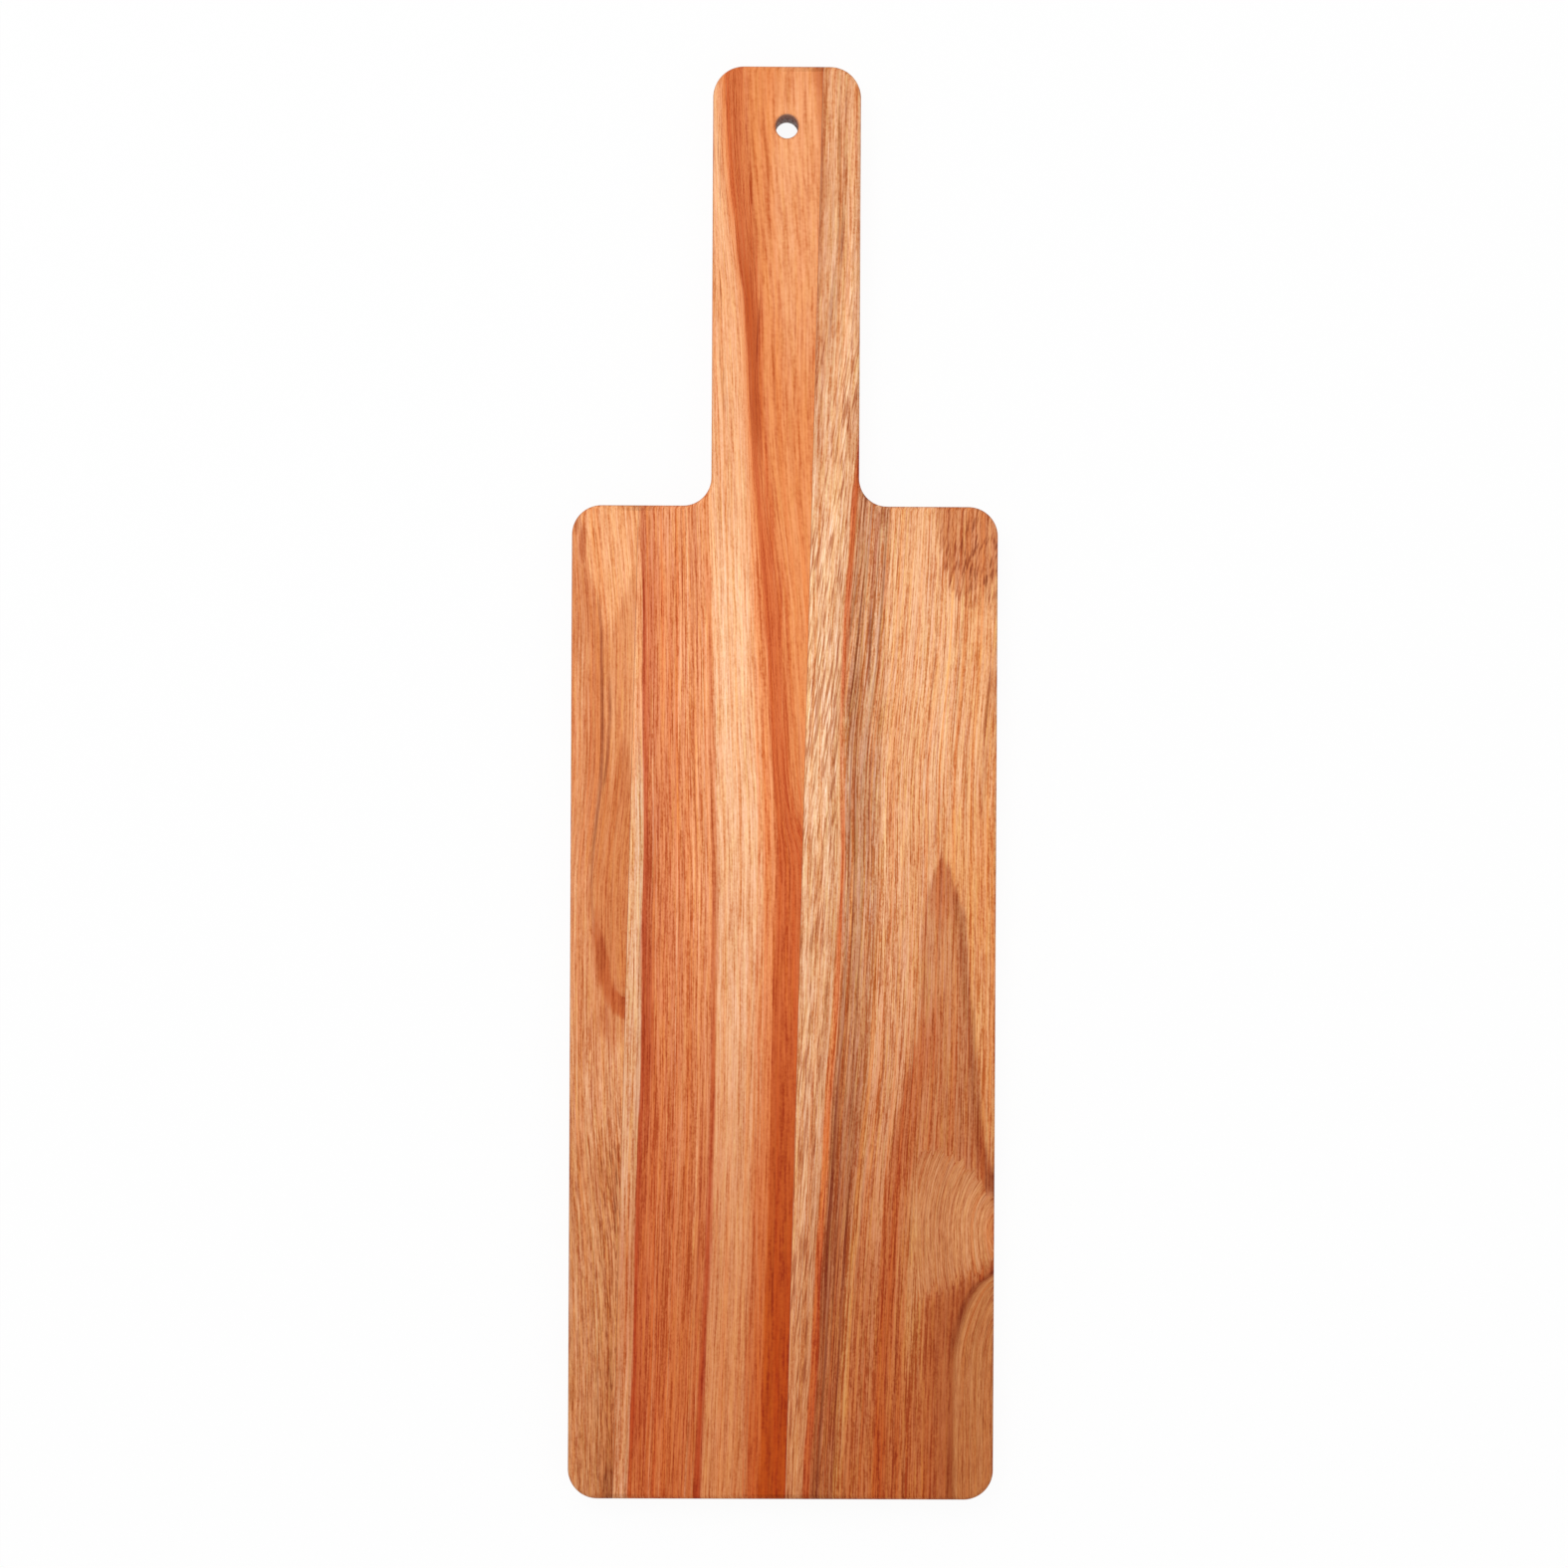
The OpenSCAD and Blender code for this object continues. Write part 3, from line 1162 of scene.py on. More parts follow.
    def draw_top(self) -> None:
        """Draws the copper wood below the honey top."""
        top = self.arch(((-75, 92), (-71, 82), (-67, 66), (-63, 55), (-59, 62), (-54, 78)))
        below = (top - self.y + self.ragged * 4.0).ease(-5, 7) * self.reach(-30, 10)
        self.paint(below * self.u.ease(-72, -66) * 0.5, Tone.COPPER)
        self.paint_marks(self.ragged, Spot(-73, 62, 6.0, 22.0, 0.4, Tone.COPPER))

    def draw_arcs(self) -> None:
        """Draws the warm wood right of the long arc, and both thin dark arcs."""
        past_arc = self.u - self.across(self.LONG_ARC)
        self.paint(past_arc.ease(-0.5, 2.0) * self.reach(-84, -66, -10, 15) * 0.8, Tone.COPPER)
        self.paint_marks(self.ragged, Spot(-56.5, 5, 3.0, 16.0, 0.45, Tone.RUST))
        fading = self.level(((98, 0), (72, 0.1), (56, 0.75), (0, 0.9), (-30, 0.6), (-58, 0.2)))
        short_arc = self.seam(self.SHORT_ARC, 0.9) * self.reach(-8, 4, 28, 46) * 0.7
        arcs = (past_arc.line(0.85) * fading).at_least(short_arc)
        self.paint(arcs * (0.85 + self.ragged * 0.2).share(), Stain.PLUM)

    def draw_flame(self) -> None:
        """Draws the russet flame, and the rusty wood below it."""
        left = (self.u - self.across(self.FLAME_LEFT) + self.ragged * 0.9).ease(-1.2, 1.6)
        right = (self.across(self.FLAME_RIGHT) - self.u + self.ragged * 0.6).ease(-1.2, 0.9)
        self.paint_marks(self.ragged, Spot(-59.5, -82, 6.5, 14.0, 0.4, Tone.RUST, 0.3))
        self.paint_stretches(left * right, ((-42, -56), 0.85, Tone.RUST), ((-48, -60), 0.4, Stain.RED))


@dataclass
class CentreWood(StaveWood):
    """Centre stave: sapwood, a red-brown band, a cream band and a dark ember band, side by side."""

    name: str = "centre_stave_wood"
    seed: float = 17.3
    lean: float = 0.45
    far_edge: float = 22.0
    lanes: tuple[Lane, ...] = (
        Lane(((254, -60), (98, -56), (-254, -62)), 1.0, Tone.SAPWOOD, Tone.SAPWOOD_DEEP, 0.5, 0.25),
        Lane(
            (
                (98, -51.0), (60, -50.4), (10, -50.1), (-30, -49.6), (-45, -49.8), (-100, -50.2),
                (-150, -51.8), (-200, -52.6), (-253, -54.4),
            ),
            0.8, Tone.BRICK, Tone.BRICK_DEEP, 0.5, 0.25,
        ),
        Lane(
            (
                (98, -49.5), (60, -48.9), (10, -48.6), (-30, -48.2), (-45, -48.4), (-100, -48.6),
                (-150, -50.2), (-200, -51.1), (-253, -52.6),
            ),
            1.2, Tone.ROSE, Tone.ROSE_DEEP, 0.58, 0.3,
        ),
        Lane(
            ((98, -38), (60, -37.5), (10, -37), (-45, -36.5), (-100, -37), (-150, -38), (-253, -41)),
            7.0, Tone.RUSSET, Tone.RUSSET_DEEP, 0.52, 0.3,
        ),
        Lane(
            (
                (98, -29.2), (75, -28.2), (60, -27.7), (20, -26.6), (-45, -25.1), (-100, -25.5),
                (-130, -26.1), (-150, -26.6), (-200, -28.5), (-253, -31.0),
            ),
            1.2, Tone.RUSSET, Tone.BRICK_DEEP, 0.45, 0.2,
        ),
        Lane(
            (
                (254, -32), (98, -27.2), (75, -26.2), (60, -25.7), (20, -24.6), (-45, -23.1),
                (-100, -23.4), (-130, -24), (-150, -24.5), (-200, -26.4), (-253, -28.9),
            ),
            1.6, Tone.CREAM, Tone.CREAM_DEEP, 0.38, 0.25,
        ),
        Lane(
            (
                (250, -23.4), (220, -21.8), (198, -19.4), (170, -16.4), (140, -14.6), (98, -13.2),
                (73, -12.4), (40, -10.8), (15, -9.6), (-10, -8.4), (-50, -8.4), (-100, -8.8),
                (-150, -9.8), (-200, -11.4), (-253, -13.2),
            ),
            5.5, Tone.APRICOT, Tone.APRICOT_DEEP, 0.4, 0.2,
        ),
        Lane(
            (
                (250, -22), (225, -20.7), (212, -19.6), (198, -18.2), (183, -16.8), (170, -15.1),
                (155, -14), (140, -13.2), (125, -12.3), (110, -11.2), (98, -10.4), (87, -9.6),
                (73, -8.4), (55, -7), (40, -6), (15, -4.6), (-10, -3.1), (-30, -2.9), (-50, -3.4),
                (-100, -4.2), (-150, -4.9), (-253, -8.4),
            ),
            1.2, Tone.EMBER, Tone.EMBER_DEEP, 0.5, 0.15,
        ),
        Lane(
            (
                (254, -15.5), (235, -14.8), (220, -13.8), (205, -12.6), (190, -11.2), (170, -10.0),
                (150, -9.6), (130, -8.7), (110, -7.0), (98, -5.6), (80, -2.8), (60, -0.4), (40, 0.6),
                (20, 2), (0, 3.4), (-12, 5.6), (-30, 12), (-254, 20),
            ),
            6.5, Tone.AMBER, Tone.AMBER_DEEP, 0.3, 0.25,
        ),
    )

    def draw_figure(self) -> None:
        """Draws what lies along the edges of the bands, and the handle's dark and pale wood."""
        self.ragged = self.streaks(self.u, 0.9, 26.0, 67.0)
        _, self.brick, self.rose, _, _, self.cream, _, self.ember, self.amber = self.past
        self.draw_brick_line()
        self.draw_red_band()
        self.draw_ember_side()
        self.draw_sapwood_strip()
        self.draw_handle()

    def draw_brick_line(self) -> None:
        """Draws the thin brick line along the sapwood, and the redder wood to its right."""
        beside = (self.rose + self.ragged * 1.2).between(-1.2, 0.0, 1.5, 4.8)
        upper, middle = self.blot(-47, 55, 7.0, 60.0), self.blot(-47, -26, 6.0, 20.0)
        patches = upper * 0.2 + middle * 0.4 + self.blot(-48, -85, 5.0, 50.0) * 0.55
        self.paint(beside * (0.12 + self.wood_and_shade_drift * 0.3 + patches), Tone.BRICK_DEEP)
        self.paint(self.brick.between(-0.5, 0.5, 4.0, 7.0) * self.reach(-222, -250) * 0.8, Tone.RUSSET_DEEP)
        fading = self.level(((98, 0.5), (60, 0.45), (0, 0.25), (-60, 0.55), (-200, 0.3), (-254, 0.0)))
        self.paint((self.brick - 0.5 + self.ragged * 0.2).line(0.9) * fading, Tone.BRICK_DEEP)
        self.paint(beside * self.reach(5, 30) * 0.3, Tone.BRICK)
        paler = self.reach(-25, -6, 8, 35) * 0.3 + self.reach(-238, -250) * 0.8
        self.paint(self.brick.between(-0.6, 0.2, 2.0, 3.5) * paler, Stain.PALE)

    def draw_red_band(self) -> None:
        """Draws brick and cream veins in the red-brown band, and the lines along its right edge."""
        inside = self.rose.ease(0.0, 1.5) * self.cream.ease(0.0, -1.0)
        veins = self.streaks(self.grain, 0.85, 150.0, 65.0)
        self.paint(veins.ease(0.2, 0.8) * inside * 0.45, Tone.BRICK_DEEP)
        self.paint((-veins).ease(0.3, 0.9) * inside * (0.4 - self.wood_and_shade_drift * 0.2), Tone.CREAM)
        fading = self.level(((98, 0.0), (40, 0.1), (0, 0.22), (-45, 0.45), (-115, 0.5), (-254, 0.4)))
        self.paint((self.cream + 0.9).line(1.5) * fading * (1.0 + self.ragged * 0.6), Tone.BRICK_DEEP)
        self.paint((self.cream + 1.3).line(1.6) * self.reach(0, 60) * 0.5, Tone.ORANGE)

    def draw_ember_side(self) -> None:
        """Draws the orange wood along the ember band's left edge, and the handle's peach wood."""
        orange = self.level(((254, 0.5), (110, 0.6), (20, 0.4), (-20, 0.25), (-100, 0.2), (-254, 0.0)))
        self.paint((self.ragged * 0.5 - self.ember).between(-0.6, 0.1, 0.6, 4.0) * orange, Tone.ORANGE)
        self.paint_marks(self.ragged, Spot(4, 202, 13.0, 76.0, 0.7, Tone.PEACH))
        peach = self.level(((254, 0.4), (200, 0.5), (175, 0.65), (140, 0.45), (105, 0.4), (70, 0)))
        self.paint(self.ember.ease(0.0, -2.0) * peach, Tone.PEACH)

    def draw_sapwood_strip(self) -> None:
        """Shades the sapwood strip, lightens part of the cream band, and draws the strip's thin lines."""
        self.paint_stretches(
            self.brick.ease(0.3, -0.5),
            ((-10, 26), 0.8, Tone.RUSSET),
            ((-225, -245), 0.35, Stain.PALE),
            ((-225, -190, -170, -140), 0.45, Tone.RUSSET_DEEP),
        )
        self.paint(self.u.between(-23, -20, -14, -8) * self.reach(-100, -80, -62, -38) * 0.25, Stain.PALE)
        pale_line = (self.brick + self.across(((98, 2.6), (40, 2.4), (0, 3.0), (-60, 4.0)))).line(0.9)
        self.paint(pale_line * self.reach(-10, 5, 50, 75) * 0.6, Tone.CREAM)
        self.paint((self.brick + 0.9).line(0.6) * self.reach(30, 0) * 0.7, Stain.DUSK)

    def draw_handle(self) -> None:
        """Draws the ember band's dark core in the handle, its haze, thin threads and dark right corner."""
        band = self.ember.ease(-0.4, 0.5) * (self.ragged * 3.0 - self.amber).ease(-3.0, 2.0)
        self.paint(band * self.reach(100, 128, 185, 212) * 0.5, Tone.RUST)
        core = (self.ember - 2.4 + self.ragged * 0.8).line(2.2)
        self.paint(core * self.reach(112, 132, 175, 195) * 0.6, Tone.EMBER_DEEP)
        haze = (self.ragged * 4.0 - self.amber).ease(-9.0, 3.0) * self.ember.ease(0.0, 2.0)
        self.paint(haze * self.reach(165, 215) * 0.35, Tone.COPPER)
        thread = ((180, -8.6), (160, -10), (140, -10.4))
        self.paint_marks(self.ragged, Streak(thread, 0.6, (146, 154, 166, 176), 0.6, Stain.PORE))
        margin = self.seam(((254, -24.6), (190, -24.2), (150, -22.4), (110, -21)), 2.2)
        dashes = self.streaks(self.u, 0.6, 14.0, 71.0).ease(0.1, 0.9)
        self.paint(margin * dashes * self.reach(110, 150, 230, 254) * 0.8, Stain.TAUPE)
        corner = self.u - self.across(((254, 9.0), (240, 10.6), (215, 11.4), (190, 11.4), (160, 11.6)))
        self.paint(corner.ease(-1.2, 1.2) * self.reach(160, 215) * 0.6, Tone.RUST)

    def draw_edges(self) -> None:
        """Paints shade on the edges as in any stave, and on the hang hole's wall on the tip side, which faces
        away from the light and is greyed and darkened.
        """
        super().draw_edges()
        # Painted shade: the hole's wall is greyed and darkened where it faces away from the light.
        self.paint(self.bench.attribute("bore").ease(0.35, 0.9), Tone.BORE)


@dataclass
class RightWood(StaveWood):
    """Right stave: oat wood with slanted dashes, an ember thread, an umber band, straw and a knot.

    Attributes:
        knot_x: the knot's middle across the board.
        knot_y: its middle along the board.
        knot_rise: how far its rings are drawn out towards the handle.
        knot_drop: how far they are drawn out towards the foot.
    """

    STRAW_LANE: ClassVar[int] = 3
    UMBER_LINES: ClassVar[tuple[Streak, ...]] = (
        Streak(
            ((98, 28.6), (65, 26.4), (40, 26.0), (10, 27.6), (-25, 27.0), (-60, 25.6)),
            2.4, (-85, -60, 60, 85), 0.2, Stain.TAUPE,
        ),
        Streak(
            ((98, 33.3), (90, 32.7), (80, 32.2), (65, 31.2), (45, 30.4)),
            1.0, (50, 75, 94, 98), 0.45, Tone.RUST, 0.2,
        ),
        Streak(((65, 31), (40, 30.4), (20, 29.8)), 0.8, (28, 36, 56, 66), 0.75, Stain.TAUPE, 0.4),
        Streak(
            ((98, 31.7), (80, 30.8), (65, 29.4), (50, 28.9), (30, 28.4)), 1.2, (25, 50, 85, 97), 0.6, Tone.OAT
        ),
        Streak(((98, 34.9), (80, 34.2), (65, 32.8), (40, 32.2)), 1.0, (30, 50, 85, 97), 0.6, Tone.OAT),
        Streak(((98, 39.6), (80, 38.6), (65, 37.7), (40, 36.8)), 1.6, (20, 45, 85, 97), 0.5, Tone.OAT),
        Streak(((20, 36), (-20, 35.6), (-70, 34.6)), 1.8, (-75, -45, 0, 30), 0.4, Tone.OAT),
        Streak(((-50, 34.2), (-75, 33.1), (-100, 31.8)), 1.5, (-110, -95, -62, -48), 0.5, Tone.OAT),
        Streak(
            ((98, 28.4), (60, 27.9), (30, 27.2), (0, 26.3), (-60, 25.4)),
            0.8, (-65, -45, 70, 90), 0.4, Tone.GILT, 0.2,
        ),
    )
    GOLDEN_LINE: ClassVar[Points] = (
        (60, 34.8), (40, 34.3), (20, 33.9), (0, 33.6), (-20, 33.2), (-45, 32.6), (-100, 30.6),
        (-130, 28.7), (-150, 26.8), (-170, 24.7), (-200, 22.8), (-230, 21.6), (-254, 19.8),
    )
    HANDLE_MARKS: ClassVar[tuple[Union[Spot, Streak], ...]] = (
        Streak(
            ((235, 24.6), (215, 24.2), (185, 22.8), (165, 22.2), (145, 20.2), (125, 19.4)),
            2.2, (122, 140, 190, 235), 0.7, Stain.PALE, 0.2,
        ),
        Spot(23.6, 124, 2.8, 17.0, 0.4, Stain.DASH, 0.3),
    )
    MARGIN_LINES: ClassVar[tuple[Streak, ...]] = (
        Streak(
            ((60, 75), (40, 74), (20, 72.4), (0, 70.8), (-20, 69.4)),
            2.4, (-22, 0, 40, 62), 0.35, Stain.DASH, 0.2,
        ),
        Streak(((60, 75), (38, 73), (20, 71), (0, 69)), 0.9, (14, 22, 34, 44), 0.8, Stain.PORE),
    )
    KNOT_LEAD: ClassVar[tuple[Union[Spot, Streak], ...]] = (
        Streak(
            ((-112, 69.4), (-122, 69.8), (-130, 70.6), (-138, 72.6), (-146, 75), (-154, 77)),
            3.0, (-152, -144, -126, -114), 0.65, Tone.HEART,
        ),
        Spot(75, -141, 3.0, 7.0, 0.7, Stain.TAUPE),
    )

    name: str = "right_stave_wood"
    seed: float = 31.9
    lean: float = 0.4
    far_edge: float = 75.5
    lanes: tuple[Lane, ...] = (
        Lane(((254, 12.8), (-254, 1.8)), 1.0, Tone.OAT, Tone.OAT_DEEP, 0.45, 0.35),
        Lane(
            (
                (254, 29), (160, 28), (125, 25.2), (110, 24.4), (98, 23.5), (80, 22.5), (65, 21.5),
                (60, 21.1), (40, 20.6), (10, 20.2), (-20, 20.2), (-45, 19.5), (-85, 17.6), (-108, 15.6),
                (-140, 13.8), (-170, 12), (-200, 10.8), (-230, 9), (-253, 7.9),
            ),
            0.9, Tone.THREAD, Tone.THREAD_DEEP, 0.7, 0.4,
        ),
        Lane(
            (
                (254, 30.8), (160, 29.8), (125, 27), (110, 26.3), (98, 25.6), (80, 24.4), (65, 23.1),
                (60, 22.7), (40, 22.1), (10, 21.7), (-20, 21.8), (-45, 21.2), (-85, 19.4), (-108, 17.5),
                (-140, 15.8), (-170, 14.2), (-200, 13.1), (-230, 11.4), (-253, 10.3),
            ),
            1.6, Tone.UMBER, Tone.UMBER_DEEP, 0.65, 0.5,
        ),
        Lane(
            (
                (254, 39), (98, 37.4), (80, 36.6), (60, 35.7), (40, 35.2), (20, 34.6), (0, 34.2),
                (-45, 33.2), (-85, 31.8), (-100, 31), (-115, 29.3), (-130, 27.6), (-150, 25.8),
                (-170, 24.4), (-200, 22.4), (-230, 21), (-253, 20),
            ),
            3.0, Tone.STRAW, Tone.STRAW_DEEP, 0.55, 0.55,
        ),
        Lane(
            (
                (254, 70), (98, 66), (40, 63), (0, 61), (-15, 58), (-25, 56), (-30, 53.8), (-40, 51.2),
                (-50, 50.3), (-65, 49.7), (-80, 48.6), (-95, 46.5), (-110, 42.7), (-120, 40.4),
                (-135, 38.2), (-150, 36.6), (-170, 35.6), (-200, 34.5), (-230, 32.8), (-253, 32),
            ),
            2.6, Tone.TAWNY, Tone.TAWNY_DEEP, 0.6, 0.45, bends=False,
        ),
        Lane(
            (
                (254, 70), (98, 66), (40, 63), (0, 61), (-15, 58.4), (-25, 57), (-30, 58.6), (-40, 62),
                (-48, 64.3), (-70, 66), (-90, 68.2), (-110, 69.6), (-120, 70.4), (-130, 72.3),
                (-140, 77), (-154, 82), (-168, 80), (-173.5, 75), (-178, 69.4), (-184, 66), (-190, 63.8),
                (-200, 61.6), (-215, 61), (-254, 60.8),
            ),
            1.8, Tone.HONEY, Tone.HONEY_DEEP, 0.56, 0.4, bends=False,
        ),
    )
    knot_x: float = 77.0
    knot_y: float = -158.0
    knot_rise: float = 1.7
    knot_drop: float = 3.0

    def draw_figure(self) -> None:
        """Draws each lane's own figure from left to right, and last the corner's patch and the knot."""
        _, self.thread, self.umber, self.straw, self.tongue, self.margin = self.past
        slip = self.across(((98, 4.4), (60, 4.0), (-10, 0.0), (-254, 0.0)))
        self.grain = self.grain - self.umber.ease(-0.1, 0.1) * slip
        self.draw_oat_dashes()
        self.draw_umber_band()
        self.draw_thread()
        self.draw_umber_lines()
        self.draw_low_stripes()
        self.draw_handle_streaks()
        self.draw_tongue()
        self.draw_corner_patch()
        self.draw_knot()

    def draw_oat_dashes(self) -> None:
        """Draws brown dashes that cross the oat lane at a slant, and straighten out towards the foot."""
        self.fibre = self.fibre * (0.97 + self.wood_and_shade_drift * 0.2)
        in_oat = self.thread.ease(0.6, -1.6)
        slant = self.u - self.y * 0.09 - (self.y + 20.0).at_least(0.0) * 0.07
        dashes = self.streaks(slant, 0.58, 10.0, 73.0)
        patches = self.streaks(slant, 3.5, 40.0, 74.0)
        strength = in_oat * self.level((
            (254, 0.3), (210, 0.5), (180, 0.8), (160, 0.9), (60, 0.9), (0, 0.85), (-100, 0.75),
            (-160, 0.85), (-254, 1.0),
        ))
        self.paint((dashes + patches * 0.45).ease(0.1, 0.75) * strength, Stain.DASH)
        self.paint((dashes * -1.2).share() * strength, Stain.PALE)
        darker = self.level(((112, 0.0), (92, 1.0), (-150, 1.0), (-200, 1.0), (-235, 0.5), (-254, 0.2)))
        self.paint(self.thread.ease(-6.0, -0.5) * in_oat * darker * 0.28, Stain.DASH)
        self.paint_stretches(
            in_oat,
            ((-45, -25, 25, 45), 0.2, Stain.PALE),
            ((130, 185), 0.6, Tone.STRAW),
            ((110, 170), 0.2, Stain.FIBRE),
            ((98, 115, 132, 150), 0.15, Stain.FIBRE),
            ((-195, -172, -105, -85), 0.4, Stain.PALE),
            ((-215, -250), 0.16, Stain.FIBRE),
        )

    def draw_umber_band(self) -> None:
        """Draws straw and dark lines in the umber band, and the dark line that follows its left edge."""
        self.waver = self.streaks(self.grain, 0.7, 80.0, 75.0)
        inside = self.umber.ease(-0.4, 0.8) * self.straw.ease(0.4, -1.4)
        plain = self.level(
            ((254, 0.8), (60, 0.7), (0, 0.7), (-35, 0.65), (-100, 0.4), (-140, 0.55), (-254, 0.6))
        )
        straw_lines = (-self.waver).ease(0.1, 0.5) * inside * plain
        self.colour = self.bench.colour(straw_lines, self.colour, self.lane_tone(self.lanes[self.STRAW_LANE]))
        self.paint(self.waver.ease(0.1, 0.6) * inside * 0.65, Stain.DASH)
        shadow = self.level((
            (254, 0.3), (75, 0.3), (40, 0.16), (0, 0.08), (-30, 0.14), (-100, 0.28), (-170, 0.28),
            (-254, 0.36),
        ))
        offset = self.level(
            ((254, 0.5), (98, 0.5), (65, 0.9), (40, 0.75), (10, 0.6), (-60, 0.5), (-254, 0.5))
        )
        dark = (self.umber - offset * 4.0).line(2.8) * (shadow + self.waver * 0.35)
        greyed = self.reach(-90, -40)
        self.paint(dark * (1.0 - greyed), Stain.DASH)
        self.paint(dark * greyed * 1.2, Stain.TAUPE)
        heavy = self.umber.between(0.5, 2.5, 7.0, 10.0)
        self.paint(heavy * self.reach(-185, -155, -125, -90) * 0.2, Stain.DASH)
        self.paint_stretches(inside, ((50, 75), 0.16, Stain.DASH), ((-75, -35, -5, 25), 0.22, Stain.PALE))

    def draw_thread(self) -> None:
        """Darkens the ember thread by the shoulder, and makes it paler in places further down."""
        self.paint((self.umber + 0.7).line(1.0) * self.reach(60, 85) * 0.6, Tone.EMBER_DEEP)
        self.paint_stretches(
            self.thread.ease(-0.3, 0.5) * self.umber.ease(1.6, -0.4),
            ((-18, 2, 18, 40), 0.5, Tone.STRAW),
            ((-170, -145, -80, -45), 0.45, Tone.ORANGE),
            ((-125, -95, -70, -50), 0.3, Tone.STRAW),
        )
        self.paint_marks(self.waver, Spot(22.4, 10, 1.8, 22.0, 0.9, Stain.PALE))

    def draw_umber_lines(self) -> None:
        """Lightens the umber band's right half and the straw beside it, and draws the band's thin lines."""
        half = self.u - self.across(
            ((98, 30.6), (65, 28.4), (40, 28.0), (10, 30.6), (-25, 29.2), (-60, 30.0), (-100, 29.0))
        )
        paler = self.level(
            ((98, 0.45), (65, 0.75), (42, 0.2), (10, 0.3), (-25, 0.55), (-60, 0.6), (-95, 0.0))
        )
        self.paint(half.ease(-0.8, 1.6) * (self.straw + 0.4).ease(1.0, -1.0) * paler, Stain.PALE)
        beside = self.straw.ease(-1.0, 1.5) * self.u.ease(46, 38)
        self.paint(beside * self.reach(-190, -150, -40, 0) * 0.3, Stain.PALE)
        self.paint_marks(self.waver, *self.UMBER_LINES)
        strength = self.level(
            ((254, 0), (60, 0), (40, 0.55), (-10, 0.45), (-100, 0.4), (-130, 0.75), (-254, 0.85))
        )
        self.paint(self.seam(self.GOLDEN_LINE, 1.9) * strength * (0.8 + self.waver * 0.4), Tone.GILT)

    def draw_low_stripes(self) -> None:
        """Draws the red stripes in the straw near the foot, and the golden wood between them and the knot."""
        ragged = self.streaks(self.u, 0.8, 60.0, 76.0)
        wide = self.seam(
            ((-110, 40.5), (-150, 38.2), (-170, 37.4), (-210, 36), (-230, 35.5), (-254, 33.4)), 3.2
        )
        self.paint((wide * self.reach(-125, -175) * (0.5 + ragged * 0.45)).share() * 0.55, Tone.EMBER_DEEP)
        self.paint_marks(ragged, Spot(35.5, -240, 3.0, 24.0, 0.4, Tone.EMBER_DEEP))
        narrow = self.seam(((-150, 42.2), (-200, 41.2), (-230, 40.5), (-254, 39)), 1.3)
        self.paint((narrow * self.reach(-175, -195) * (0.6 + ragged * 0.4)).share() * 0.5, Tone.EMBER_DEEP)
        golden = (self.u - 46.8 + ragged * 0.8).line(5.0)
        self.paint(golden * self.reach(-225, -190, -155, -135) * 0.6, Tone.GILT)

    def draw_handle_streaks(self) -> None:
        """Draws the dark wood that hugs the joint in the handle, and the taupe and pale streaks beside it."""
        waver = self.streaks(self.u, 1.2, 20.0, 79.0)
        past_joint = self.u - self.across(((254, 13.6), (220, 12.6), (190, 11.6), (160, 10.9)))
        self.paint(past_joint.line(1.2) * self.reach(170, 225) * 0.42, Tone.HEART)
        shaded = past_joint.ease(5.0, 1.5) * self.reach(105, 125, 205, 230)
        self.paint(shaded * (0.32 + waver * 0.15), Stain.DASH)
        one = self.seam(((254, 18.6), (215, 18.2), (190, 17.6), (165, 15.8), (145, 14.8)), 1.0)
        two = self.seam(((254, 20.8), (215, 20.4), (190, 19.2), (165, 17.6), (145, 17.0)), 1.0)
        self.paint((one + two) * self.reach(140, 172) * (0.3 + waver * 0.35), Stain.TAUPE)
        self.paint((one + two).share() * self.reach(155, 172, 195, 215) * 0.5, Stain.DUSK)
        self.paint_marks(waver, *self.HANDLE_MARKS)

    def draw_tongue(self) -> None:
        """Blends the margin above the dark tongue with the straw, and darkens the tongue's cap and sides."""
        ragged = self.streaks(self.grain, 0.8, 20.0, 97.0)
        above = self.reach(-24, 6)
        self.paint(self.margin.ease(-2.5, 0.0) * above * 0.85, Tone.STRAW)
        self.paint(self.u.ease(56, 76) * above * 0.4, Tone.HONEY)
        self.paint(self.u.between(46, 49, 62, 66) * self.reach(-22, 0, 60, 95) * 0.24, Stain.PALE)
        self.paint(self.margin.ease(0.0, 2.0) * self.reach(-140, -118, -96, -70) * 0.4, Tone.HONEY)
        self.paint(self.margin.ease(0.0, 2.5) * self.reach(-95, -80, -58, -42) * 0.3, Stain.PALE)
        orange = (self.u - 70.2).line(1.8) * self.reach(-75, -55, -18, 0)
        self.paint(orange * (0.3 + ragged * 0.2).share(), Tone.ORANGE)
        inside = self.tongue.ease(-0.5, 1.0) * self.margin.ease(0.5, -1.0)
        self.paint(self.blot(56, -30, 8.0, 26.0) * inside * 0.5, Tone.RUST)
        rim = (self.tongue + ragged * 0.6).line(1.6)
        self.paint(rim * self.reach(-100, -70, -40, -28) * 0.35, Stain.DASH)
        right = (ragged - self.margin).between(-0.8, 0.8, 1.5, 5.5)
        self.paint(right * self.reach(-142, -115, -45, -28) * 0.45, Stain.TAUPE)
        left = (self.tongue + ragged * 1.2).between(-0.5, 1.0, 4.5, 10.0)
        self.paint(left * self.reach(-175, -130, -95, -70) * 0.55, Tone.RUST)
        self.paint_marks(ragged, *self.KNOT_LEAD)

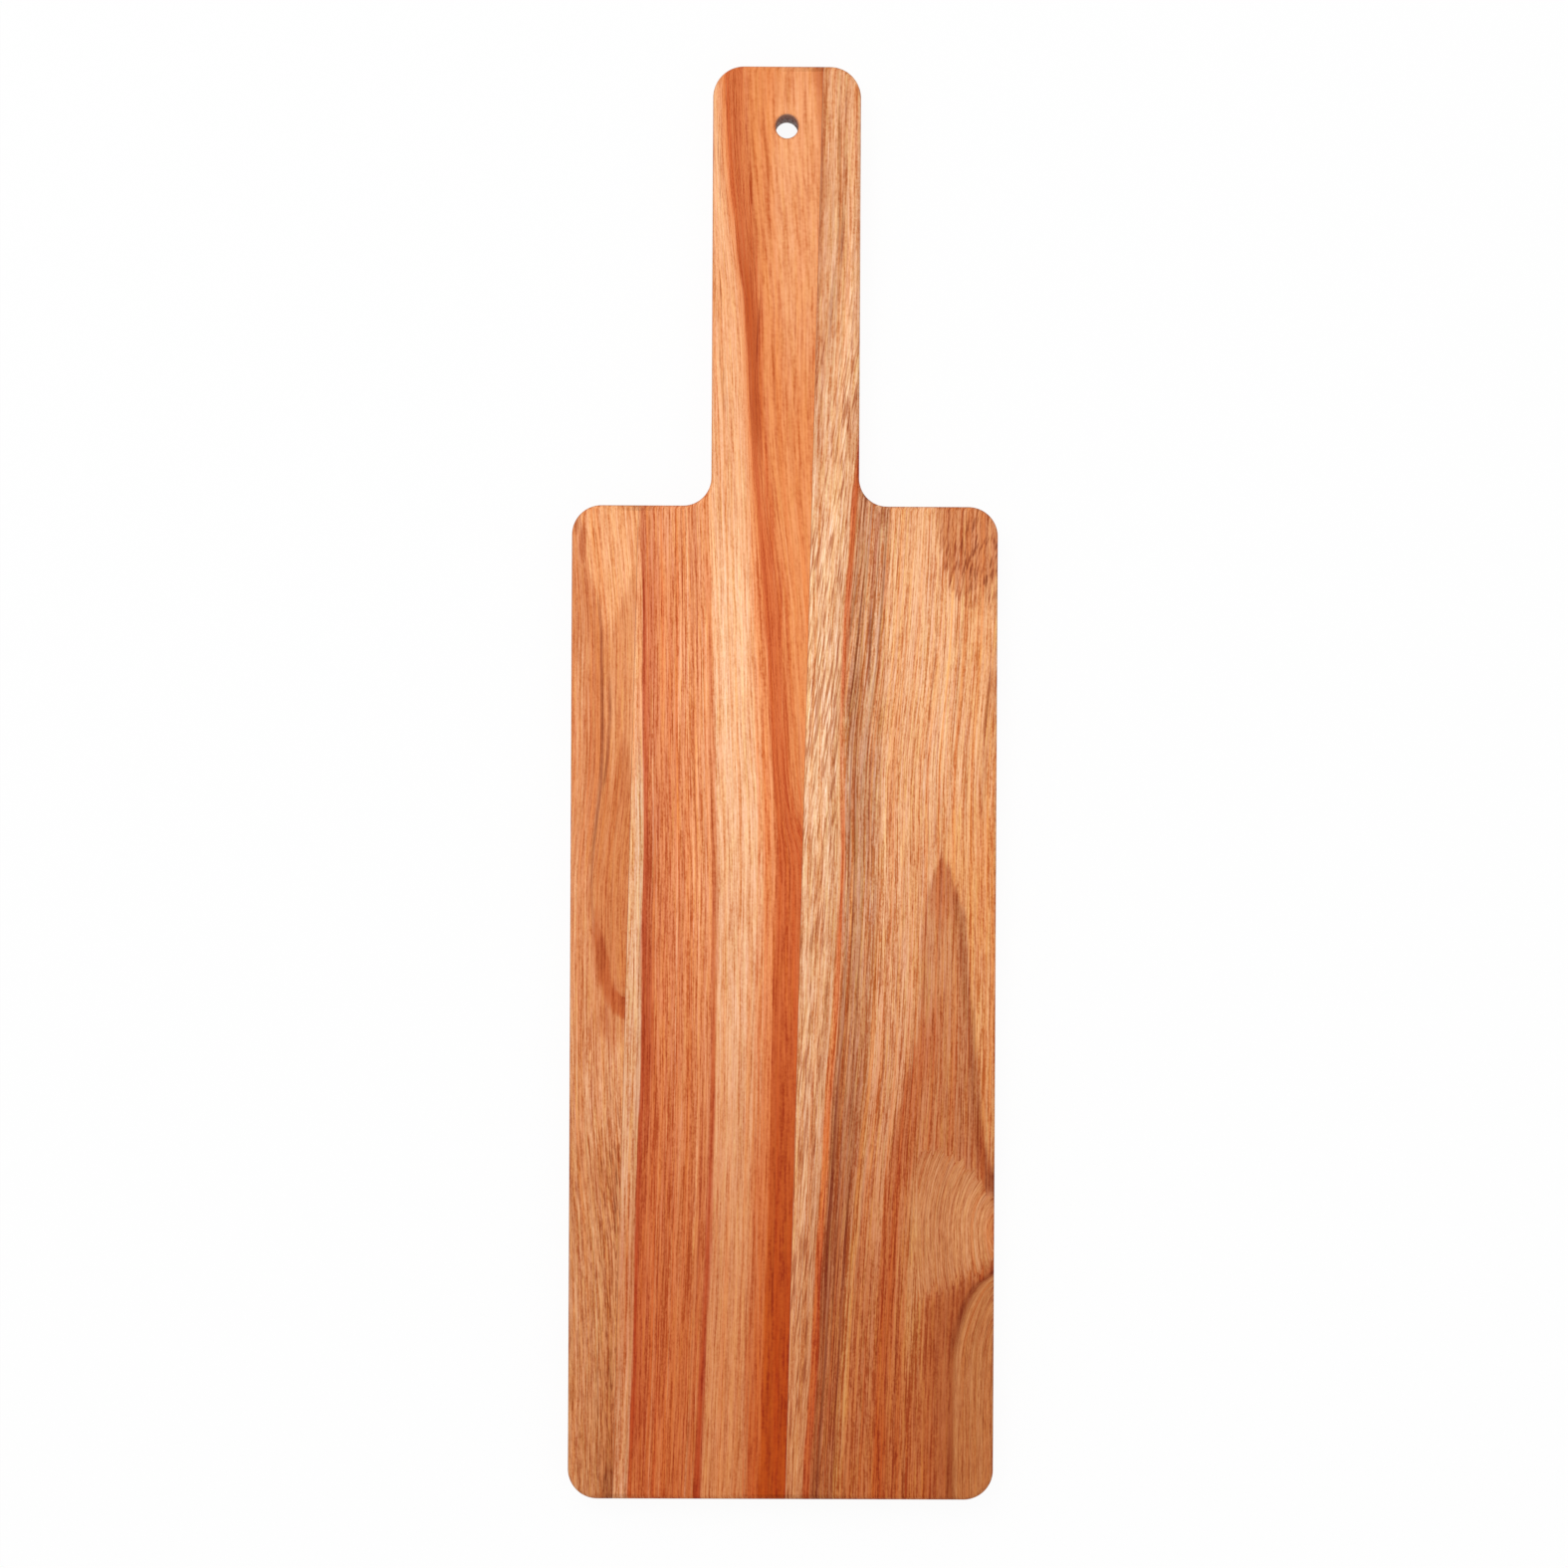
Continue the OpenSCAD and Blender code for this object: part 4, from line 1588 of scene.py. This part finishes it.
    def draw_corner_patch(self) -> None:
        """Draws the brown patch at the shoulder's corner, its leaning dashes, and the dark lines below it."""
        edge = self.across(((98, 53.6), (85, 55), (75, 57), (66, 61), (60, 72), (50, 90)))
        slant = self.u - self.y * 0.15
        ragged = self.streaks(slant, 1.0, 9.0, 83.0)
        inside = (self.u - edge + 0.3 + ragged * 1.3).ease(-0.9, 1.1) * (self.y + ragged * 10.0).ease(57, 79)
        self.paint(inside * 0.7, Tone.CHESTNUT_DEEP)
        self.paint(inside * 0.35, Tone.ROSE_DEEP)
        dashes = self.streaks(slant, 0.75, 5.0, 89.0)
        self.paint(dashes.ease(0.0, 0.7) * inside * (0.5 + self.reach(95, 78) * 0.4), Stain.DASH)
        self.paint((-dashes).share() * inside * 0.5, Stain.PALE)
        self.paint(dashes.ease(0.1, 0.7) * self.blot(71, 81, 11.0, 22.0) * 0.6, Stain.TAUPE)
        self.paint_marks(ragged, *self.MARGIN_LINES)

    def draw_knot(self) -> None:
        """Draws the knot's golden eye, and the dark sweep that runs from below it to the foot."""
        ragged = self.streaks(self.u, 1.6, 9.0, 101.0, 2.0)
        floor = self.arch(((40, -188), (51.5, -181), (59.3, -177), (64, -175.5), (70, -172), (75, -168)))
        self.draw_eye(ragged, floor)
        self.draw_sweep(ragged, floor)

    def draw_eye(self, ragged: Reading, floor: Reading) -> None:
        """Draws the golden eye beside the knot, with fibres that follow the knot's rings.

        Args:
            ragged: noise that roughens the eye's outline.
            floor: course of its lower edge.
        """
        dome = self.arch(
            ((40, -152), (43.8, -142), (46, -136), (51.6, -130), (59.3, -131), (67, -137), (75, -147))
        )
        below_dome, above_floor = dome - self.y + ragged * 2.5, self.y - floor + ragged * 4.0
        inside = below_dome.ease(-2.5, 4.0) * above_floor.ease(-6, 7)
        eye = inside * (self.u + ragged * 2.5).ease(40, 51)
        self.paint(eye * 0.88, Tone.CHESTNUT_DEEP)
        self.paint(self.blot(67, -157, 10.0, 19.0) * eye * 0.25, Tone.HONEY)
        self.paint_marks(ragged, Spot(76, -159, 5.0, 13.0, 0.75, Tone.COPPER))
        aside, up = self.knot_x - self.u, self.y - self.knot_y
        away = up.at_least(0.0) / self.knot_rise - up.at_most(0.0) / self.knot_drop
        ring = self.bench.math("SQRT", aside * aside + away * away)
        within = below_dome.ease(-0.2, 0.2) * above_floor.ease(-0.2, 0.2) * self.u.ease(47.8, 48.2)
        self.turn_grain(within, self.knot_x - ring * 1.3, eye, 0.34)
        ripple = self.streaks(self.grain, 0.5, 4.0, 103.0)
        self.paint(ripple.ease(0.1, 0.8) * eye * 0.42, Stain.DASH)
        self.paint(ripple * eye * -0.6, Stain.PALE)

    def draw_sweep(self, ragged: Reading, floor: Reading) -> None:
        """Draws the dark heartwood below the eye, the line that sweeps along it, and the paler wood beyond.

        Args:
            ragged: noise that roughens the heartwood's outline.
            floor: course of the eye's lower edge.
        """
        beyond = self.margin.ease(-0.8, 0.8) * self.reach(-168, -176)
        self.turn_grain(beyond, self.margin * 1.3 + 60.0, beyond, 0.36)
        flecks = self.streaks(self.grain, 0.6, 5.0, 107.0)
        self.paint(flecks.ease(0.1, 0.8) * beyond * 0.4, Stain.DASH)
        self.paint(flecks * beyond * -0.5, Stain.PALE)
        low = (floor - self.y + ragged * 1.6).ease(-2.0, 7.0)
        heart = (self.u + ragged * 2.5).ease(45, 57) * self.margin.ease(0.6, -1.0) * low
        self.paint(heart * (0.62 + ragged * 0.25), Tone.HEART)
        self.fibre = self.bench.number(heart, self.fibre, 0.48)
        by_sweep = self.margin.between(-9.0, -2.0, -0.8, 0.8) * low
        self.paint(by_sweep * self.reach(-206, -188) * 0.6, Tone.HEART)
        fading = self.level(((254, 0), (-165, 0.75), (-195, 0.7), (-212, 0.3), (-235, 0.5), (-254, 0.6)))
        self.paint((self.margin + 0.5).line(2.4) * self.reach(-168, -174) * fading, Stain.TAUPE)

    def turn_grain(self, turned: Reading, grain: Reading, calmed: Reading, fibre: float) -> None:
        """Gives a zone another course and contrast of its fibres.

        Args:
            turned: share of the new course.
            grain: place among the fibres along the new course.
            calmed: share of the new contrast.
            fibre: the new contrast.
        """
        self.grain = self.bench.number(turned, self.grain, grain)
        self.fibre = self.bench.number(calmed, self.fibre, fibre)


class GlueFinish:
    """Cured wood glue: a thin brown line, a little uneven along its length."""

    def dress(self) -> Finish:
        """Mixes two browns by slow noise along the line.

        Returns:
            The finished material.
        """
        bench = Bench(bpy.data.materials.new("glue"))
        _, y, z = bench.place()
        uneven = bench.noise(bench.vector(0.0, y / 9, z / 3), 2.0)
        colour = bench.colour(0.45 + uneven * 0.4, Tone.GLUE.linear, Tone.WALNUT.linear)
        rough = (0.5 + uneven * 0.08).share()
        shader = bench.node("ShaderNodeBsdfPrincipled", None, {"Base Color": colour, "Roughness": rough})
        return bench.surface(shader.outputs[0])


# The board


@dataclass
class ServingBoard:
    """The board's five pieces: three staves and the two lines of glue between them.

    Attributes:
        sizes: sizes of the whole board.
    """

    sizes: BoardSizes = BOARD

    def joint(self, distance: float, faces_right: bool) -> Side:
        """Gives a piece's side at a glue joint.

        Args:
            distance: distance of the side from the middle, to the right and square to the joint.
            faces_right: whether the side faces right or left.

        Returns:
            The side.
        """
        if faces_right:
            return Side(-self.sizes.joint_slant, distance, rim=False)
        return Side(180 - self.sizes.joint_slant, -distance, rim=False)

    def foot(self, corner: Corner = Corner.SHARP) -> Side:
        """Gives the foot, ending in a sharp joint or in the body's rounded corner."""
        return Side(-90, self.sizes.tip, corner=corner, radius=self.sizes.body_corner_radius)

    def planks(self) -> Iterable[Plank]:
        """Lists the pieces from left to right.

        Returns:
            The planks, ready to be built.
        """
        s = self.sizes
        half_body, half_handle, film = s.body_width / 2, s.handle_width / 2, s.glue_thickness / 2
        out, hollow = Corner.ROUND_OUT, Corner.ROUND_IN
        hole = HoleWall(s.hole_centre, s.hole_radius, s.hole_ease, s.thickness)
        yield Plank("left_stave_board", "left_stave", "left_stave_wood", Outline((
            Side(90, s.shoulder, corner=out, radius=s.body_corner_radius),
            Side(180, half_body, corner=out, radius=s.body_corner_radius),
            Side(270, s.tip),
            self.joint(-s.left_joint - film, True),
        )))
        yield Plank("left_glue_film", "left_glue_line", "glue", Outline((
            self.foot(),
            self.joint(-s.left_joint + film, True),
            Side(90, s.shoulder),
            self.joint(-s.left_joint - film, False),
        )))
        yield Plank("centre_stave_board", "centre_stave", "centre_stave_wood", Outline((
            self.foot(),
            self.joint(s.right_joint - film, True),
            Side(90, s.tip, corner=out, radius=s.handle_tip_radius),
            Side(180, half_handle, corner=hollow, radius=s.neck_fillet_radius),
            Side(90, s.shoulder),
            self.joint(-s.left_joint + film, False),
        )), hole)
        yield Plank("right_glue_film", "right_glue_line", "glue", Outline((
            self.foot(),
            self.joint(s.right_joint + film, True),
            Side(90, s.tip),
            self.joint(s.right_joint - film, False),
        )))
        yield Plank("right_stave_board", "right_stave", "right_stave_wood", Outline((
            self.foot(out),
            Side(0, half_body, corner=out, radius=s.body_corner_radius),
            Side(90, s.shoulder, corner=hollow, radius=s.neck_fillet_radius),
            Side(0, half_handle, corner=out, radius=s.handle_tip_radius),
            Side(90, s.tip),
            self.joint(s.right_joint + film, False),
        )))

    def build(self) -> None:
        """Builds every piece and gives it its finish."""
        finishes = {
            "left_stave_wood": LeftWood().dress(),
            "centre_stave_wood": CentreWood().dress(),
            "right_stave_wood": RightWood().dress(),
            "glue": GlueFinish().dress(),
        }
        for plank in self.planks():
            piece = plank.build()
            piece.data.materials.append(finishes[plank.slot])
            log.info("%s: %d faces", piece.name, len(piece.data.polygons))


# Studio


WHITE = (1.0, 1.0, 1.0, 1.0)


@dataclass(frozen=True)
class Lamp:
    """A soft square lamp that faces a point on the board.

    Attributes:
        name: name of the lamp.
        place: where it hangs, in metres.
        target: the point that it faces, in metres.
        side: length of its side in metres.
        watts: its power.
    """

    name: str
    place: tuple[float, float, float]
    target: tuple[float, float, float]
    side: float
    watts: float

    def hang(self) -> None:
        """Adds the lamp to the scene."""
        light = bpy.data.lights.new(self.name, "AREA")
        light.shape = "SQUARE"
        light.size = self.side
        light.energy = self.watts
        lamp = bpy.data.objects.new(self.name, light)
        bpy.context.scene.collection.objects.link(lamp)
        lamp.location = self.place
        aim = type(lamp.location)(self.target) - lamp.location
        lamp.rotation_euler = aim.to_track_quat("-Z", "Y").to_euler()


@dataclass(frozen=True)
class Studio:
    """A white table top under soft light, seen from straight above as in the photograph.

    Attributes:
        floor_half: half the floor's width in metres.
        floor_drop: depth of the floor below the board in metres.
        floor_white: brightness of the floor as light falls on it.
        floor_glow: share of plain white in the floor as it is seen; the rest keeps the shadow.
        sky: strength of the even light.
        eye: the camera's place in metres.
        eye_turn: the camera's turn about X, Y and Z in degrees.
        focal_length: the lens, in millimetres.
        film_width: width of the film, in millimetres.
        far_clip: how far the camera sees, in metres.
        lamps: the lamps.
    """

    floor_half: float = 4.0
    floor_drop: float = 0.0002
    floor_white: float = 0.88
    floor_glow: float = 0.94
    sky: float = 0.62
    eye: tuple[float, float, float] = (-0.00723, 0.00817, 1.200)
    eye_turn: tuple[float, float, float] = (-0.397, -0.351, 0.279)
    focal_length: float = 76.83
    film_width: float = 36.0
    far_clip: float = 50.0
    lamps: tuple[Lamp, ...] = (
        Lamp("key_softbox", (-0.45, 0.75, 1.65), (0.0, 0.0, 0.0), 1.1, 15.0),
        Lamp("fill_softbox", (0.9, -0.6, 1.5), (0.0, 0.0, 0.0), 1.0, 3.0),
    )

    @staticmethod
    def seen(bench: Bench) -> Reading:
        """Tells what is seen from light that falls on the board.

        Args:
            bench: bench of the surroundings' material or of the world.

        Returns:
            1 for what the camera sees straight, in a gloss or through glass, and 0 for other light.
        """
        path = bench.node("ShaderNodeLightPath").outputs
        names = ("Is Camera Ray", "Is Glossy Ray", "Is Transmission Ray")
        straight, in_gloss, through_glass = (Reading(bench, path[name]) for name in names)
        return (straight + in_gloss + through_glass).share()

    def lay_floor(self) -> None:
        """Lays a white floor that keeps a faint shadow."""
        half, low = self.floor_half, -self.floor_drop
        mesh = bpy.data.meshes.new("floor")
        corners = [(-half, -half, low), (half, -half, low), (half, half, low), (-half, half, low)]
        mesh.from_pydata(corners, [], [(0, 1, 2, 3)])
        floor = bpy.data.objects.new("floor", mesh)
        bpy.context.scene.collection.objects.link(floor)
        bench = Bench(bpy.data.materials.new("floor_white"))
        matt = bench.node("ShaderNodeBsdfDiffuse", None, {"Color": (*[self.floor_white] * 3, 1.0)})
        glow = bench.node("ShaderNodeEmission", None, {"Color": WHITE, "Strength": 1.0})
        share = self.seen(bench) * self.floor_glow
        shader = bench.node("ShaderNodeMixShader", None, {0: share, 1: matt.outputs[0], 2: glow.outputs[0]})
        mesh.materials.append(bench.surface(shader.outputs[0]))

    def light(self) -> None:
        """Hangs the lamps and lights the surroundings evenly; the camera sees white beyond the floor."""
        for lamp in self.lamps:
            lamp.hang()
        world = bpy.data.worlds.new("studio_walls")
        bpy.context.scene.world = world
        bench = Bench(world)
        walls, white = (
            bench.node("ShaderNodeBackground", None, {"Color": WHITE, "Strength": strength}).outputs[0]
            for strength in (self.sky, 1.0)
        )
        shader = bench.node("ShaderNodeMixShader", None, {0: self.seen(bench), 1: walls, 2: white})
        bench.surface(shader.outputs[0])

    def set_camera(self) -> None:
        """Sets the camera where the photograph was taken from."""
        camera = bpy.data.cameras.new("photo_camera")
        camera.lens = self.focal_length
        camera.sensor_width = self.film_width
        camera.clip_end = self.far_clip
        seat = bpy.data.objects.new("photo_camera", camera)
        bpy.context.scene.collection.objects.link(seat)
        seat.location = self.eye
        seat.rotation_euler = [math.radians(angle) for angle in self.eye_turn]
        bpy.context.scene.camera = seat

    def build(self) -> None:
        """Sets up the floor, the light, the camera and the plain view."""
        self.lay_floor()
        self.light()
        self.set_camera()
        bpy.context.scene.view_settings.view_transform = "Standard"


def main() -> None:
    """Builds the board and the studio round it, and reports each piece."""
    logging.basicConfig(level=logging.INFO, format="%(message)s")
    ServingBoard().build()
    Studio().build()


if __name__ == "__main__":
    main()
